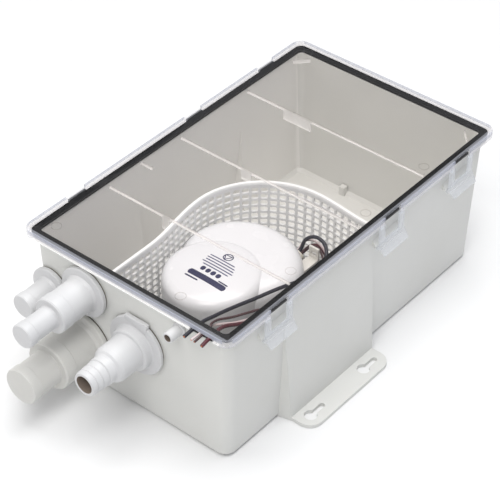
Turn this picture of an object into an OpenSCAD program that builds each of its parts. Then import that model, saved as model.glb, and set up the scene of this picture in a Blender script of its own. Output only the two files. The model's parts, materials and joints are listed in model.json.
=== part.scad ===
// Shower sump pump: a moulded tub with a clear latched lid, stepped inlet
// spigots, a discharge barb with a check valve, a removable strainer and a
// float-switched centrifugal pump. Millimetres, +Z up, the origin at the
// centre of the tub's base, the fittings on the -Y end wall.

/* [Tub] */
// Width of the tub under its rim
tub_w = 182; // [180:1:184]
// Length of the tub under its rim
tub_l = 305; // [303:1:307]
// Height of the tub up to the underside of its rim
tub_h = 114.4; // [113:0.2:116]
// How much narrower the tub is at its base, both sides together
draft_w = 8; // [6:0.5:10]
// How much shorter the tub is at its base, both ends together
draft_l = 6; // [4:0.5:8]
// Wall and floor thickness
wall = 3; // [2.6:0.1:3.2]
// Thickness of the rim
rim_t = 4; // [3.6:0.1:4.2]

/* [Lid] */
// Width of the lid
lid_w = 193; // [192:0.5:194]
// Length of the lid
lid_l = 318; // [317:0.5:319]
// Thickness of the lid's clear plate
lid_t = 2.5; // [2:0.1:3]
// Positions of the latches along the tub
latch_y = [-104, 26, 113.5];
// Half the width of a latch
latch_hw = 14.5; // [12:0.5:15]

/* [Feet] */
// Distance between the two keyholes of a foot
foot_pitch = 63.5; // [60:0.5:66]
// Radius of a keyhole's round end
key_r = 5; // [4:0.1:5.2]
// Half the width of a keyhole's slot
key_s = 2.2; // [1.8:0.1:2.6]

/* [Fittings] */
// Small inlet: sideways place and height of its axis
inlet_s = [-75.8, 75.3];
// Medium inlet: sideways place and height of its axis
inlet_m = [-40.9, 90.4];
// Large inlet: sideways place and height of its axis
inlet_l = [-46.6, 39.6];
// Discharge outlet: sideways place and height of its axis
outlet = [7.6, 67.7];
// Vent nipple: sideways place and height of its axis
vent = [48, 105.5];
// Radius of the bead on a 19 mm hose spigot
bead_s = 9.6; // [9.3:0.1:9.9]
// Radius of the bead on a 28 mm hose spigot
bead_m = 14.3; // [14:0.1:14.8]
// Radius of the bead on a 38 mm hose spigot
bead_l = 19.5; // [19:0.1:20]

/* [Strainer] */
// Height of the strainer's top edge above the base
str_top = 113.8; // [108:0.2:114]
// Thickness of the strainer's wall
str_t = 1.8; // [1.4:0.1:2.2]
// Rows of openings in the strainer
str_rows = 10; // [8:1:12]

/* [Pump] */
// Axis of the motor and impeller, in plan
pump_c = [21, -86];
// Radius of the round motor housing
motor_r = 37.5; // [36:0.5:38]
// Centre of the oval float housing, in plan
float_c = [22.9, -57];
// Half-width and half-depth of the oval float housing
float_ab = [46.8, 42.8];
// Radius of the impeller
imp_r = 22; // [18:0.5:23]

/* [Leads] */
// Radius of the two thick leads
lead_r = 1.4; // [1.2:0.1:1.4]
// Radius of the two thin leads
thin_r = 0.9; // [0.7:0.05:0.95]

/* [Hidden] */
$fn = 64;
e = 0.01;

c_tub = [0.80, 0.81, 0.79];
c_white = [0.93, 0.93, 0.92];
c_clear = [0.80, 0.86, 0.88, 0.45];
c_black = [0.10, 0.10, 0.11];
c_steel = [0.72, 0.72, 0.74];

rim_top = tub_h + rim_t;
lid_z = rim_top + 2.4;
lid_top = lid_z + lid_t;
skirt_z = lid_top - 6.4;

function w_at(z) = tub_w - draft_w + draft_w * z / 114;
function l_at(z) = tub_l - draft_l + draft_l * z / 114;
function y_out(z) = -l_at(z) / 2;
function y_pad(z) = y_out(z) - 0.3;
function y_in(z) = y_pad(z) + 3.7;

// closed outline of a rounded rectangle
function rr(w, l, r, n = 6) = [for (k = [0:3]) for (i = [0:n])
  let (a = 90 * k + 90 * i / n,
       cx = (k == 0 || k == 3 ? 1 : -1) * (w / 2 - r),
       cy = (k < 2 ? 1 : -1) * (l / 2 - r))
  [cx + r * cos(a), cy + r * sin(a)]];
function ell(c, a, b, n = 48) = [for (i = [0:n - 1])
  [c[0] + a * cos(360 * i / n), c[1] + b * sin(360 * i / n)]];

// solid through a stack of outlines with equal point counts
module loft(rings, zs) {
  n = len(rings[0]);
  m = len(rings);
  polyhedron(
    points = [for (j = [0:m - 1]) for (p = rings[j]) [p[0], p[1], zs[j]]],
    faces = concat(
      [[for (i = [0:n - 1]) i]],
      [for (j = [0:m - 2]) for (i = [0:n - 1])
        let (a = j * n + i, b = j * n + (i + 1) % n) [a, a + n, b + n]],
      [for (j = [0:m - 2]) for (i = [0:n - 1])
        let (a = j * n + i, b = j * n + (i + 1) % n) [a, b + n, b]],
      [[for (i = [n - 1:-1:0]) (m - 1) * n + i]]));
}

// box given by its low and high corners
module box(lo, hi) { translate(lo) cube(hi - lo); }

// things turned about an axis along -Y: local z runs outward from the wall
module out_from(p, y) { translate([p[0], y, p[1]]) rotate([90, 0, 0]) children(); }

module turned(pts) { rotate_extrude($fn = 72) polygon(pts); }

// ---------------------------------------------------------------- tub
foot_x = 97.6;
module foot_plate(y0, y1) {
  xo = 116.3; r = 11;
  linear_extrude(wall) polygon(concat(
    [[foot_x, y0]],
    [for (i = [0:6]) [xo - r + r * cos(-90 + 15 * i), y0 + r + r * sin(-90 + 15 * i)]],
    [for (i = [0:6]) [xo - r + r * cos(15 * i), y1 - r + r * sin(15 * i)]],
    [[foot_x, y1]]));
}
module foot(y0, y1, k) {
  color(c_tub) difference() {
    foot_plate(y0, y1);
    for (i = [0, 1]) keyhole(k + foot_pitch * i);
  }
}
module foot_near() { foot(-89, 8, -78); }
module foot_far() { mirror([1, 0, 0]) foot(-49, 77, -24.5); }

module keyhole(y) {
  translate([106, y, -1]) cylinder(r = key_r, h = wall + 2);
  box([106 - key_s, y, -1], [106 + key_s, y + 13.3, wall + 1]);
  translate([106, y + 13.3, -1]) cylinder(r = key_s, h = wall + 2);
}

module boss(y0, y1) {
  loft([[[80, y0 - 4.5], [97.2, y0], [97.2, y1], [80, y1 + 4.5]],
        [[80, y0 - 5], [90.1, y0 - 2], [90.1, y1 + 4], [80, y1 + 6]]], [0, 92]);
}

module pocket(y0, y1) {
  loft([[[70, y0 + 1], [94, y0 + 3.5], [94, y1 - 3.5], [70, y1 - 1]],
        [[70, y0 + 0.5], [86.8, y0 + 2], [86.8, y1 - 2], [70, y1 - 0.5]]], [wall, 86]);
}

module catch_rib(y) {
  translate([0, y + 16.5, 0]) rotate([90, 0, 0]) linear_extrude(33)
    polygon([[88.2, 98], [93.6, 98], [93.6, 99.2], [90.8, 104], [88.2, 104]]);
}

module wall_pad(p, r) {
  out_from(p, y_in(p[1])) cylinder(r = r, h = y_in(p[1]) - y_pad(p[1]));
}

module spotface(p, r) {
  out_from(p, y_pad(p[1])) cylinder(r = r, h = 6);
  out_from(p, y_in(p[1]) + 6) cylinder(r = r, h = 6);
}

module wall_hole(p, r) { out_from(p, y_in(p[1]) + 8) cylinder(r = r, h = 20); }

module tub() {
  color(c_tub) difference() {
    union() {
      difference() {
        union() {
          loft([rr(w_at(0) - 5, l_at(0) - 5, 7), rr(w_at(3), l_at(3), 8.5),
                rr(w_at(tub_h), l_at(tub_h), 8.5)], [0, 3, tub_h]);
          translate([0, 0, tub_h - e]) linear_extrude(rim_t + e)
            polygon(rr(187.2, 312, 9));
          boss(-89, 8);
          mirror([1, 0, 0]) boss(-49, 77);
        }
        loft([rr(w_at(3) - 2 * wall - 5, l_at(3) - 2 * wall - 5, 4.6),
              rr(w_at(6) - 2 * wall, l_at(6) - 2 * wall, 5.8),
              rr(w_at(rim_top + 1) - 2 * wall, l_at(rim_top + 1) - 2 * wall, 5.8)],
             [wall, 6, rim_top + 1]);
        pocket(-89, 8);
        mirror([1, 0, 0]) pocket(-48, 76);
      }
      // roots of the feet, which each foot plate carries on from
      box([86, -89, 0], [foot_x, 8, wall]);
      box([-foot_x, -49, 0], [-86, 77, wall]);
      for (s = [0, 1]) mirror([s, 0, 0]) for (y = latch_y) catch_rib(y);
      wall_pad(inlet_s, 15.4);
      wall_pad(inlet_m, 20);
      wall_pad(inlet_l, 25.2);
      wall_pad(outlet, 23.8);
      // strainer guides on the front wall and on the near side wall
      box([-19.6, -149, wall - e], [-17.4, -142.5, 98]);
      box([-24.6, -149, wall - e], [-22.4, -142.5, 12]);
      box([-24.6, -149, 64], [-22.4, -142.5, 71.5]);
      box([79, 9.6, wall - e], [85, 11.6, 98]);
      box([79, 14.8, wall - e], [85, 16.8, 98]);
      // stub on the floor at the back
      box([-37, 141, wall - e], [-32, 146, 11]);
      // bosses that the pump base stands on
      for (p = [[-15, -62], [58, -62], [21, -112]])
        translate([p[0], p[1], wall - e]) cylinder(r = 5, h = 2 + e);
    }
    spotface(inlet_m, 20.8);
    spotface(inlet_l, 26.1);
    spotface(outlet, 24.8);
    out_from(inlet_s, y_pad(inlet_s[1])) cylinder(r = 16.7, h = 6);
    out_from(inlet_s, y_in(inlet_s[1]) + 6) cylinder(r = 10.1, h = 6);
    out_from(vent, y_pad(vent[1])) cylinder(r = 5.6, h = 6);
    out_from(vent, y_in(vent[1]) + 6) cylinder(r = 6.3, h = 6);
    wall_hole(inlet_s, 8.3);
    wall_hole(inlet_m, 14.8);
    wall_hole(inlet_l, 19.8);
    wall_hole(outlet, 15.2);
    wall_hole(vent, 4.25);
    // blind holes for the pump base screws
    for (x = [-15, 58]) translate([x, -62, 1]) cylinder(r = 1.6, h = 6);
    // gap in the front rim for the lead grommet
    box([60, -158, tub_h], [84, -147, rim_top + 1]);
  }
}

// ---------------------------------------------------------------- lid
module lid() {
  color(c_clear) difference() {
    union() {
      translate([0, 0, lid_z]) linear_extrude(lid_t) polygon(rr(lid_w, lid_l, 9));
      translate([0, 0, skirt_z]) linear_extrude(lid_z - skirt_z + e) difference() {
        polygon(rr(lid_w, lid_l, 9));
        polygon(rr(lid_w - 4.2, lid_l - 4.2, 7));
      }
      for (y = [-79.5, 0, 79.5]) box([-85, y - 0.9, lid_z - 4], [85, y + 0.9, lid_z + e]);
      box([-87, -43.9, lid_z - 4], [-75, -42.1, lid_z + e]);
      // fingers that hang from the ribs beside the strainer
      box([-33, -80.4, 106.4], [-26, -78.6, lid_z + e]);
      box([-25, -0.9, 109], [-15.5, 0.9, lid_z + e]);
      box([-48.5, 78.6, 108.6], [-21.5, 80.4, lid_z + e]);
    }
    for (s = [-1, 1]) for (y = latch_y)
      box([s > 0 ? 94.4 : -98, y - 9.6, skirt_z - 1], [s > 0 ? 98 : -94.4, y + 9.6, lid_top + 1]);
    // gap in the front skirt over the leads
    box([62, -160, skirt_z - 1], [82.4, -156.4, skirt_z + 3]);
  }
}

module lid_gasket() {
  color(c_black) translate([0, 0, rim_top + 0.3]) linear_extrude(lid_z - rim_top - 0.3)
    difference() {
      union() {
        polygon(rr(186, 311.4, 6));
        for (y = latch_y) translate([0, y]) square([190.6, 17.6], center = true);
      }
      polygon(rr(174.8, 300, 3.4));
    }
}

// one latch: two legs, a hooked bar below them and a flared thumb tab
module latch(y) {
  color(c_clear) union() {
    for (s = [-1, 1])
      box([94.3, y + (s > 0 ? 8.9 : -latch_hw), 101], [96.5, y + (s > 0 ? latch_hw : -8.9), skirt_z - 0.5]);
    translate([0, y + latch_hw, 0]) rotate([90, 0, 0]) linear_extrude(2 * latch_hw)
      polygon([[94.3, 102], [94.3, 97.4], [92.1, 97.4], [92.1, 95.8], [94.4, 94.4], [96, 95.8],
               [100.2, 92], [101.3, 92.9], [97, 101], [96.5, 102]]);
  }
}
module latch_near_front() { latch(latch_y[0]); }
module latch_near_middle() { latch(latch_y[1]); }
module latch_near_rear() { latch(latch_y[2]); }
module latch_far_front() { mirror([1, 0, 0]) latch(latch_y[0]); }
module latch_far_middle() { mirror([1, 0, 0]) latch(latch_y[1]); }
module latch_far_rear() { mirror([1, 0, 0]) latch(latch_y[2]); }

// ---------------------------------------------------------------- inlets
// l runs outward from the spot-faced wall; the end is closed
module inlet_small() {
  color(c_white) out_from(inlet_s, y_pad(inlet_s[1])) turned([
    [0, 29.2], [6.8, 29.2], [6.8, -7.4], [7.9, -7.4], [8.2, -7], [8.2, 1.2], [16.3, 1.2], [16.3, 4],
    [15.6, 4.6], [10.4, 5], [9.3, 7], [9, 24], [bead_s, 24.6], [bead_s, 30.2], [8.9, 31.3], [0, 31.3]]);
}
module inlet_medium() {
  color(c_white) out_from(inlet_m, y_pad(inlet_m[1])) turned([
    [0, 62.6], [6.8, 62.6], [6.8, 36], [11.4, 34], [11.4, -12], [14.6, -12], [14.6, 1.2], [20.4, 1.2],
    [20.4, 3.9], [19.8, 4.5], [15.2, 5], [13.9, 7.5], [13.6, 26.4], [bead_m, 27], [bead_m, 36.3],
    [13.4, 37.3], [9.4, 37.3], [9, 38], [9, 57], [bead_s, 57.6], [bead_s, 63.8], [8.9, 64.8], [0, 64.8]]);
}
module inlet_large() {
  color(c_white) out_from(inlet_l, y_pad(inlet_l[1])) turned([
    [0, 64.4], [11.4, 64.4], [11.4, 38], [16.4, 36], [16.4, -12], [19.6, -12], [19.6, 1.2], [25.7, 1.2],
    [25.7, 4], [25, 4.6], [20.6, 5.2], [19.1, 7.6], [18.8, 28.4], [bead_l, 29], [bead_l, 38.2],
    [18.6, 39.3], [14.2, 39.3], [13.8, 40], [13.8, 58.4], [bead_m + 0.2, 59], [bead_m + 0.2, 65.8],
    [13.9, 66.8], [0, 66.8]]);
}
module seal(p, ro, ri) {
  color(c_black) out_from(p, y_pad(p[1])) difference() {
    cylinder(r = ro, h = 1.2);
    translate([0, 0, -1]) cylinder(r = ri, h = 4);
  }
}
module inlet_small_seal() { seal(inlet_s, 15.7, 8.25); }
module inlet_medium_seal() { seal(inlet_m, 19.8, 14.7); }
module inlet_large_seal() { seal(inlet_l, 25.1, 19.7); }
module outlet_seal() { seal(outlet, 23.8, 15.1); }

// six-sided lock nut on the inside of the wall
module nut(p, ro, ri, h) {
  color(c_white) out_from(p, y_in(p[1]) + h) difference() {
    rotate([0, 0, 30]) cylinder(r = ro, h = h, $fn = 6);
    translate([0, 0, -1]) cylinder(r = ri, h = h + 2);
  }
}
module inlet_medium_nut() { nut(inlet_m, 18.4, 14.7, 5.4); }
module inlet_large_nut() { nut(inlet_l, 24.6, 19.7, 5.4); }
module outlet_nut() { nut(outlet, 19, 15.1, 4.2); }
module inlet_small_clip() {
  color(c_steel) out_from(inlet_s, y_in(inlet_s[1]) + 1.2) difference() {
    cylinder(r = 9.8, h = 1.2);
    translate([0, 0, -1]) cylinder(r = 8.25, h = 4);
  }
}

// ---------------------------------------------------------------- outlet
module outlet_barb() {
  color(c_white) out_from(outlet, y_pad(outlet[1])) union() {
    turned([
      [12.1, -8.4], [15, -8.4], [15, 1.2], [24.4, 1.2], [24.4, 3.4], [23.8, 4], [18.4, 4.4], [17.4, 5.4],
      [17, 10.4], [16.2, 11.2], [14.5, 11.6], [14.2, 29], [13.2, 31.6], [11.6, 33], [10.9, 34.4],
      [10.9, 39.6], [9.7, 40.4], [10.5, 41], [10, 45.4], [9.3, 46], [10.2, 46.6], [9.7, 51],
      [9.1, 51.4], [9.9, 52], [9.3, 55.2], [8.9, 55.8], [7, 55.8], [7, 33.4], [12.1, 28.6]]);
    // straight lug on the flange
    translate([0, 0, 1.2]) linear_extrude(3.6) polygon([[-9, 22.6], [11.4, 17], [12.6, 25.6], [-8.6, 25.6]]);
  }
}

// elbow inside the tub, with the seat and the hinge ears of the check valve
riser_y = -132.6;
flap_y = -4.2;
flap_z = 9;
module discharge_elbow() {
  ys = y_pad(outlet[1]);
  x = outlet[0]; z = outlet[1];
  color(c_black) difference() {
    union() {
      translate([x, riser_y, 47]) cylinder(r = 7.55, h = 12);
      translate([x, riser_y, 59]) cylinder(r = 9.4, h = z - 59);
      out_from(outlet, riser_y + 10.6)
        turned([[0, 0], [6.2, 0], [9.4, 1.3], [11.9, 5.2], [11.9, riser_y + 10.6 - ys + 2.7], [0, riser_y + 10.6 - ys + 2.7]]);
      for (s = [-1, 1])
        box([x + (s > 0 ? 4.2 : -5.6), ys - 5.4, z + 7.9], [x + (s > 0 ? 5.6 : -4.2), ys - 2.6, z + 10.1]);
    }
    translate([x, riser_y, 46]) cylinder(r = 5.9, h = z - 46);
    out_from(outlet, riser_y + 6.6) cylinder(r = 7, h = 48);
    translate([x - 10, ys + flap_y, z + flap_z]) rotate([0, 90, 0]) cylinder(r = 0.7, h = 20);
  }
}
module check_flap() {
  ys = y_pad(outlet[1]);
  x = outlet[0]; z = outlet[1];
  color(c_black) difference() {
    union() {
      difference() {
        out_from([x, z], ys - 3) cylinder(r = 9.2, h = 1.6);
        for (s = [-1, 1])
          box([x + (s > 0 ? 3.9 : -12), ys - 6, z + 6.2], [x + (s > 0 ? 12 : -3.9), ys - 2, z + 12]);
      }
      translate([x - 3.9, ys + flap_y, z + flap_z]) rotate([0, 90, 0]) cylinder(r = 1.4, h = 7.8);
    }
    translate([x - 10, ys + flap_y, z + flap_z]) rotate([0, 90, 0]) cylinder(r = 0.76, h = 20);
  }
}
module check_flap_pin() {
  color(c_steel) translate([outlet[0] - 5.8, y_pad(outlet[1]) + flap_y, outlet[1] + flap_z])
    rotate([0, 90, 0]) cylinder(r = 0.7, h = 11.6);
}

module discharge_hose() {
  color(c_black) translate([outlet[0], riser_y, 31]) difference() {
    cylinder(r = 9.4, h = 24.2);
    translate([0, 0, -1]) cylinder(r = 7.6, h = 30);
  }
}
module hose_clamps() {
  color(c_steel) for (z = [33.4, 48.4]) translate([outlet[0], riser_y, z]) difference() {
    union() {
      cylinder(r = 10.1, h = 6);
      box([-13, -4, 0.4], [-9, 4.4, 5.6]);
    }
    translate([0, 0, -1]) cylinder(r = 9.45, h = 8);
    translate([-11.6, -8, 3]) rotate([-90, 0, 0]) cylinder(r = 1.1, h = 8.4);
  }
}

module vent_nipple() {
  color(c_white) out_from(vent, y_pad(vent[1])) turned([
    [2.8, -5.2], [6, -5.2], [6, -3.8], [4.2, -3.8], [4.2, -0.02], [5.4, 0], [5.4, 1.4], [4.2, 1.8],
    [4.2, 12.4], [3.8, 12.9], [2.8, 12.9]]);
}

// ---------------------------------------------------------------- strainer
function bez(a, b, c, d, t) = a * pow(1 - t, 3) + 3 * b * t * pow(1 - t, 2) + 3 * c * t * t * (1 - t) + d * pow(t, 3);
str_path = concat(
  [for (i = [0:9]) [-21, -144.6 + 38.6 * i / 10]],
  [for (i = [0:13]) bez([-21, -106], [-21, -86], [-28.6, -66], [-28.6, -44], i / 14)],
  [for (i = [0:23]) bez([-28.6, -44], [-28.6, -13], [-2, 17.3], [36, 17.3], i / 24)],
  [for (i = [0:10]) bez([36, 17.3], [52, 17.3], [68, 13.2], [83, 13.2], i / 10)]);
function path_n(i) = let (a = str_path[max(i - 1, 0)], b = str_path[min(i + 1, len(str_path) - 1)],
  d = (b - a) / norm(b - a)) [-d[1], d[0]];
function side(k) = [for (i = [0:len(str_path) - 1]) str_path[i] + k * path_n(i)];
function rev(v) = [for (i = [len(v) - 1:-1:0]) v[i]];
// running length along the path
function run(i) = i == 0 ? 0 : run(i - 1) + norm(str_path[i] - str_path[i - 1]);
runs = [for (i = [0:len(str_path) - 1]) run(i)];
str_len = runs[len(runs) - 1];
function seg(s, i = 0) = i >= len(runs) - 2 || runs[i + 1] >= s ? i : seg(s, i + 1);
function at(s) = let (i = seg(s), t = (s - runs[i]) / (runs[i + 1] - runs[i]))
  str_path[i] * (1 - t) + str_path[i + 1] * t;
function ang(s) = let (i = seg(s), d = str_path[i + 1] - str_path[i]) atan2(d[1], d[0]);

// one panel of the strainer, from column k0 to column k1 of its openings
cols = 22;
pitch = (str_len - 6) / cols;
function cut_at(k) = k == 0 ? 0 : k == cols ? str_len : 3 + pitch * k;
function off(s, k) = at(s) + k * [-sin(ang(s)), cos(ang(s))];
function edge(s0, s1, k) = concat([off(s0, k)],
  [for (i = [0:len(str_path) - 1]) if (runs[i] > s0 + 1.4 && runs[i] < s1 - 1.4) str_path[i] + k * path_n(i)],
  [off(s1, k)]);
module panel(k0, k1) {
  z0 = 9; row = (str_top - 5 - z0) / str_rows;
  s0 = cut_at(k0); s1 = cut_at(k1);
  color(c_white) difference() {
    union() {
      translate([0, 0, 3.4]) linear_extrude(str_top - 3.4)
        polygon(concat(edge(s0, s1, str_t / 2), rev(edge(s0, s1, -str_t / 2))));
      // thicker band along the top edge
      translate([0, 0, str_top - 3]) linear_extrude(3)
        polygon(concat(edge(s0 + 0.1, s1 - 0.1, str_t / 2 + 0.5), rev(edge(s0 + 0.1, s1 - 0.1, -str_t / 2 - 0.5))));
    }
    for (c = [k0:k1 - 1]) let (s = 3 + pitch * (c + 0.5), p = at(s))
      translate([p[0], p[1], 0]) rotate([0, 0, ang(s)])
        for (r = [0:str_rows - 1])
          translate([-pitch / 2 + 1.1, -4, z0 + row * r]) cube([pitch - 2.2, 8, row - 2]);
    // corners taken off over the tub's rounded floor edge
    if (k0 == 0) box([-25, -147, 3], [-18, -142.8, 6.1]);
    if (k1 == cols) box([80.6, 9, 3], [85, 18, 6.1]);
  }
}
module strainer_front() { panel(0, 9); }
module strainer_bend_1() { panel(9, 12); }
module strainer_bend_2() { panel(12, 15); }
module strainer_side() { panel(15, 22); }

// ---------------------------------------------------------------- pump
module pump_outline(d) {
  translate(pump_c) circle(r = motor_r - 0.5 + d);
  polygon(ell(float_c, float_ab[0] - 0.5 + d, float_ab[1] - 0.5 + d));
}
module pump_base() {
  color(c_white) difference() {
    union() {
      translate([0, 0, 5]) linear_extrude(2.5) pump_outline(0);
      translate([0, 0, 5]) linear_extrude(17) difference() {
        pump_outline(0);
        pump_outline(-2.2);
      }
    }
    // suction slots round the foot
    for (a = [0:12:168]) translate([22, -66, 0]) rotate([0, 0, a + 3])
      box([-1.3, -90, 9], [1.3, 90, 18.5]);
    // eye under the impeller and ports under the float
    translate([pump_c[0], pump_c[1], 4]) cylinder(r = 12, h = 5);
    for (x = [8, 20, 32, 44]) translate([x, -36, 4]) cylinder(r = 4, h = 5);
    // way out for the nozzle
    box([outlet[0] - 9, -128, 7.5], [outlet[0] + 9, -112, 30]);
    for (x = [-15, 58]) translate([x, -62, 4]) cylinder(r = 2, h = 5);
  }
}
module pump_base_screws() {
  color(c_steel) for (x = [-15, 58]) translate([x, -62, 0]) difference() {
    union() {
      translate([0, 0, 1.4]) cylinder(r = 1.55, h = 6.2);
      translate([0, 0, 7.5]) cylinder(r = 3.4, h = 2.2);
    }
    box([-0.4, -4, 8.7], [0.4, 4, 10]);
  }
}

module volute() {
  x = outlet[0];
  color(c_white) difference() {
    union() {
      translate([pump_c[0], pump_c[1], 7.5]) cylinder(r = 31, h = 17);
      translate([x, -100, 15.8]) rotate([90, 0, 0]) cylinder(r = 7.6, h = -riser_y - 100);
      translate([x, riser_y, 15.8]) rotate([0, 90, 0]) sphere(r = 8);
      translate([x, riser_y, 15.8]) cylinder(r = 7.4, h = 15.1);
      translate([x, riser_y, 29]) cylinder(r = 7.55, h = 13);
    }
    translate([pump_c[0], pump_c[1], 9.5]) cylinder(r = 24.6, h = 13);
    translate([pump_c[0], pump_c[1], 7]) cylinder(r = 12, h = 4);
    translate([pump_c[0], pump_c[1], 20]) cylinder(r = 7, h = 6);
    translate([x, -88, 15.8]) rotate([90, 0, 0]) cylinder(r = 5.6, h = -riser_y - 88);
    translate([x, riser_y, 15.8]) rotate([0, 90, 0]) sphere(r = 6);
    translate([x, riser_y, 15.8]) cylinder(r = 5.6, h = 30);
  }
}

module impeller() {
  color(c_white) translate([pump_c[0], pump_c[1], 0]) difference() {
    union() {
      translate([0, 0, 19.4]) cylinder(r = imp_r, h = 1.8);
      translate([0, 0, 12]) cylinder(r = 5.5, h = 8);
      for (a = [0:60:300]) rotate([0, 0, a]) rotate([0, 0, 20])
        translate([4, -0.8, 11]) cube([imp_r - 4.6, 1.6, 8.6]);
    }
    translate([0, 0, 13.4]) cylinder(r = 2.5, h = 10);
  }
}
module motor_shaft() {
  color(c_steel) translate([pump_c[0], pump_c[1], 13.4]) cylinder(r = 2.5, h = 69);
}
module shaft_seal() {
  color(c_black) translate([pump_c[0], pump_c[1], 22]) difference() {
    cylinder(r = 6.9, h = 3.4);
    translate([0, 0, -1]) cylinder(r = 2.56, h = 6);
  }
}
module lower_bushing() {
  color([0.72, 0.55, 0.28]) translate([pump_c[0], pump_c[1], 28.6]) difference() {
    cylinder(r = 6, h = 4.6);
    translate([0, 0, -1]) cylinder(r = 2.55, h = 8);
  }
}
module upper_bushing() {
  color([0.72, 0.55, 0.28]) translate([pump_c[0], pump_c[1], 79]) difference() {
    cylinder(r = 6, h = 4.2);
    translate([0, 0, -1]) cylinder(r = 2.55, h = 8);
  }
}
module armature() {
  color([0.55, 0.36, 0.22]) translate([pump_c[0], pump_c[1], 37]) difference() {
    union() {
      cylinder(r = 21.6, h = 30);
      translate([0, 0, -2]) cylinder(r = 15, h = 34);
    }
    translate([0, 0, -4]) cylinder(r = 2.5, h = 50);
    for (a = [0:30:330]) rotate([0, 0, a]) box([16.4, -1, -1], [23, 1, 31]);
  }
}
module commutator() {
  color([0.78, 0.48, 0.28]) translate([pump_c[0], pump_c[1], 69.4]) difference() {
    cylinder(r = 7.5, h = 7);
    translate([0, 0, -1]) cylinder(r = 2.5, h = 10);
  }
}
module magnets() {
  color([0.25, 0.25, 0.27]) translate([pump_c[0], pump_c[1], 35]) for (s = [0, 180]) rotate([0, 0, s])
    intersection() {
      difference() {
        cylinder(r = 28.2, h = 34);
        translate([0, 0, -1]) cylinder(r = 22.8, h = 36);
      }
      box([4, -40, -1], [40, 40, 40]);
    }
}
module brush_holder() {
  color([0.20, 0.16, 0.12]) translate([pump_c[0], pump_c[1], 71]) difference() {
    union() {
      difference() {
        cylinder(r = 28.2, h = 2);
        translate([0, 0, -1]) cylinder(r = 11, h = 4);
      }
      for (s = [-1, 1]) box([s > 0 ? 7.8 : -20, -2.6, 0], [s > 0 ? 20 : -7.8, 2.6, 4.4]);
    }
    translate([0, 0, -1]) cylinder(r = 7.8, h = 8);
  }
}
module motor_can() {
  color(c_steel) translate([pump_c[0], pump_c[1], 0]) difference() {
    translate([0, 0, 27.4]) cylinder(r = 30, h = 57.2);
    translate([0, 0, 33.2]) cylinder(r = 28.25, h = 45.8);
    translate([0, 0, 20]) cylinder(r = 6.05, h = 13.3);
    translate([0, 0, 78.9]) cylinder(r = 6.05, h = 4.4);
    translate([0, 0, 26]) cylinder(r = 3.2, h = 70);
  }
}
module motor_housing() {
  color(c_white) translate([pump_c[0], pump_c[1], 0]) difference() {
    union() {
      translate([0, 0, 24.5]) cylinder(r = motor_r - 1.6, h = 61.5);
      translate([0, 0, 22.1]) difference() {
        cylinder(r = motor_r - 1.6, h = 3);
        translate([0, 0, -1]) cylinder(r = 31.3, h = 5);
      }
    }
    translate([0, 0, 27.2]) cylinder(r = 30.1, h = 70);
    translate([0, 0, 20]) cylinder(r = 7, h = 9);
    // groove for the cap's sealing ring
    translate([0, 0, 82]) difference() {
      cylinder(r = 50, h = 2);
      translate([0, 0, -1]) cylinder(r = motor_r - 2.8, h = 4);
    }
    // gap in the skirt over the nozzle
    box([outlet[0] - 7.4 - pump_c[0], -60, 20], [outlet[0] + 7.4 - pump_c[0], -25, 24.5]);
  }
}
module cap_ring() {
  color(c_black) translate([pump_c[0], pump_c[1], 83]) rotate_extrude($fn = 72)
    translate([motor_r - 2.15, 0]) circle(r = 0.6, $fn = 20);
}
// the round cap over the motor: soft shoulder and a slightly crowned top
module motor_cap() {
  color(c_white) translate([pump_c[0], pump_c[1], 0]) turned(concat(
    [[0, 98.4], [28, 98], [33, 96], [motor_r - 1.5, 91], [motor_r - 1.5, 78], [motor_r, 78]],
    [for (i = [0:6]) [motor_r - 8 + 8 * cos(12.9 * i), 92.6 + 7.6 * sin(12.9 * i)]],
    [[20, 101.4], [8, 102], [0, 102.1]]));
}

// where the cable gland sits on the oval shell, and its tilt
gland_p = [38, -18, 73];
gland_r = [-65, 0, -10];

// oval shell that holds the float and its switch
module float_housing() {
  a = float_ab[0]; b = float_ab[1];
  color(c_white) difference() {
    loft([ell(float_c, a, b), ell(float_c, a, b), ell(float_c, a - 0.7, b - 0.7), ell(float_c, a - 2.6, b - 2.6),
          ell(float_c, a - 6, b - 6), ell(float_c, a - 14, b - 14)],
         [22.3, 87, 91.4, 94.9, 97.4, 99]);
    loft([ell(float_c, a - 2.4, b - 2.4), ell(float_c, a - 2.4, b - 2.4), ell(float_c, a - 8, b - 8)],
         [21, 86, 94.6]);
    translate([pump_c[0], pump_c[1], 10]) cylinder(r = motor_r + 0.4, h = 100);
    // port for the cable gland
    translate(gland_p) rotate(gland_r) translate([0, 0, -6]) cylinder(r = 5.1, h = 16);
    translate(gland_p) rotate(gland_r) translate([0, 0, 3.2]) cylinder(r = 6.6, h = 12);
  }
  // finger tab behind the shell, beside the gland
  color(c_white) difference() {
    union() {
      box([48.5, -29, 78], [57.3, -9, 79.8]);
      box([48.5, -10.8, 78], [57.3, -9, 89.5]);
      box([52, -27, 76], [53.8, -10, 79]);
    }
    box([50.6, -12, 82.6], [55.2, -8, 85.2]);
    loft([ell(float_c, float_ab[0] - 1.2, float_ab[1] - 1.2), ell(float_c, float_ab[0] - 1.2, float_ab[1] - 1.2)], [70, 84]);
  }
  // inner wall beside the motor closes the float chamber
  color(c_white) intersection() {
    translate([pump_c[0], pump_c[1], 22.3]) difference() {
      cylinder(r = motor_r + 2.6, h = 70);
      translate([0, 0, -1]) cylinder(r = motor_r + 0.4, h = 80);
    }
    loft([ell(float_c, a - 2.2, b - 2.2), ell(float_c, a - 2.2, b - 2.2), ell(float_c, a - 6, b - 6)], [21, 86, 93.6]);
  }
}
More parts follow.
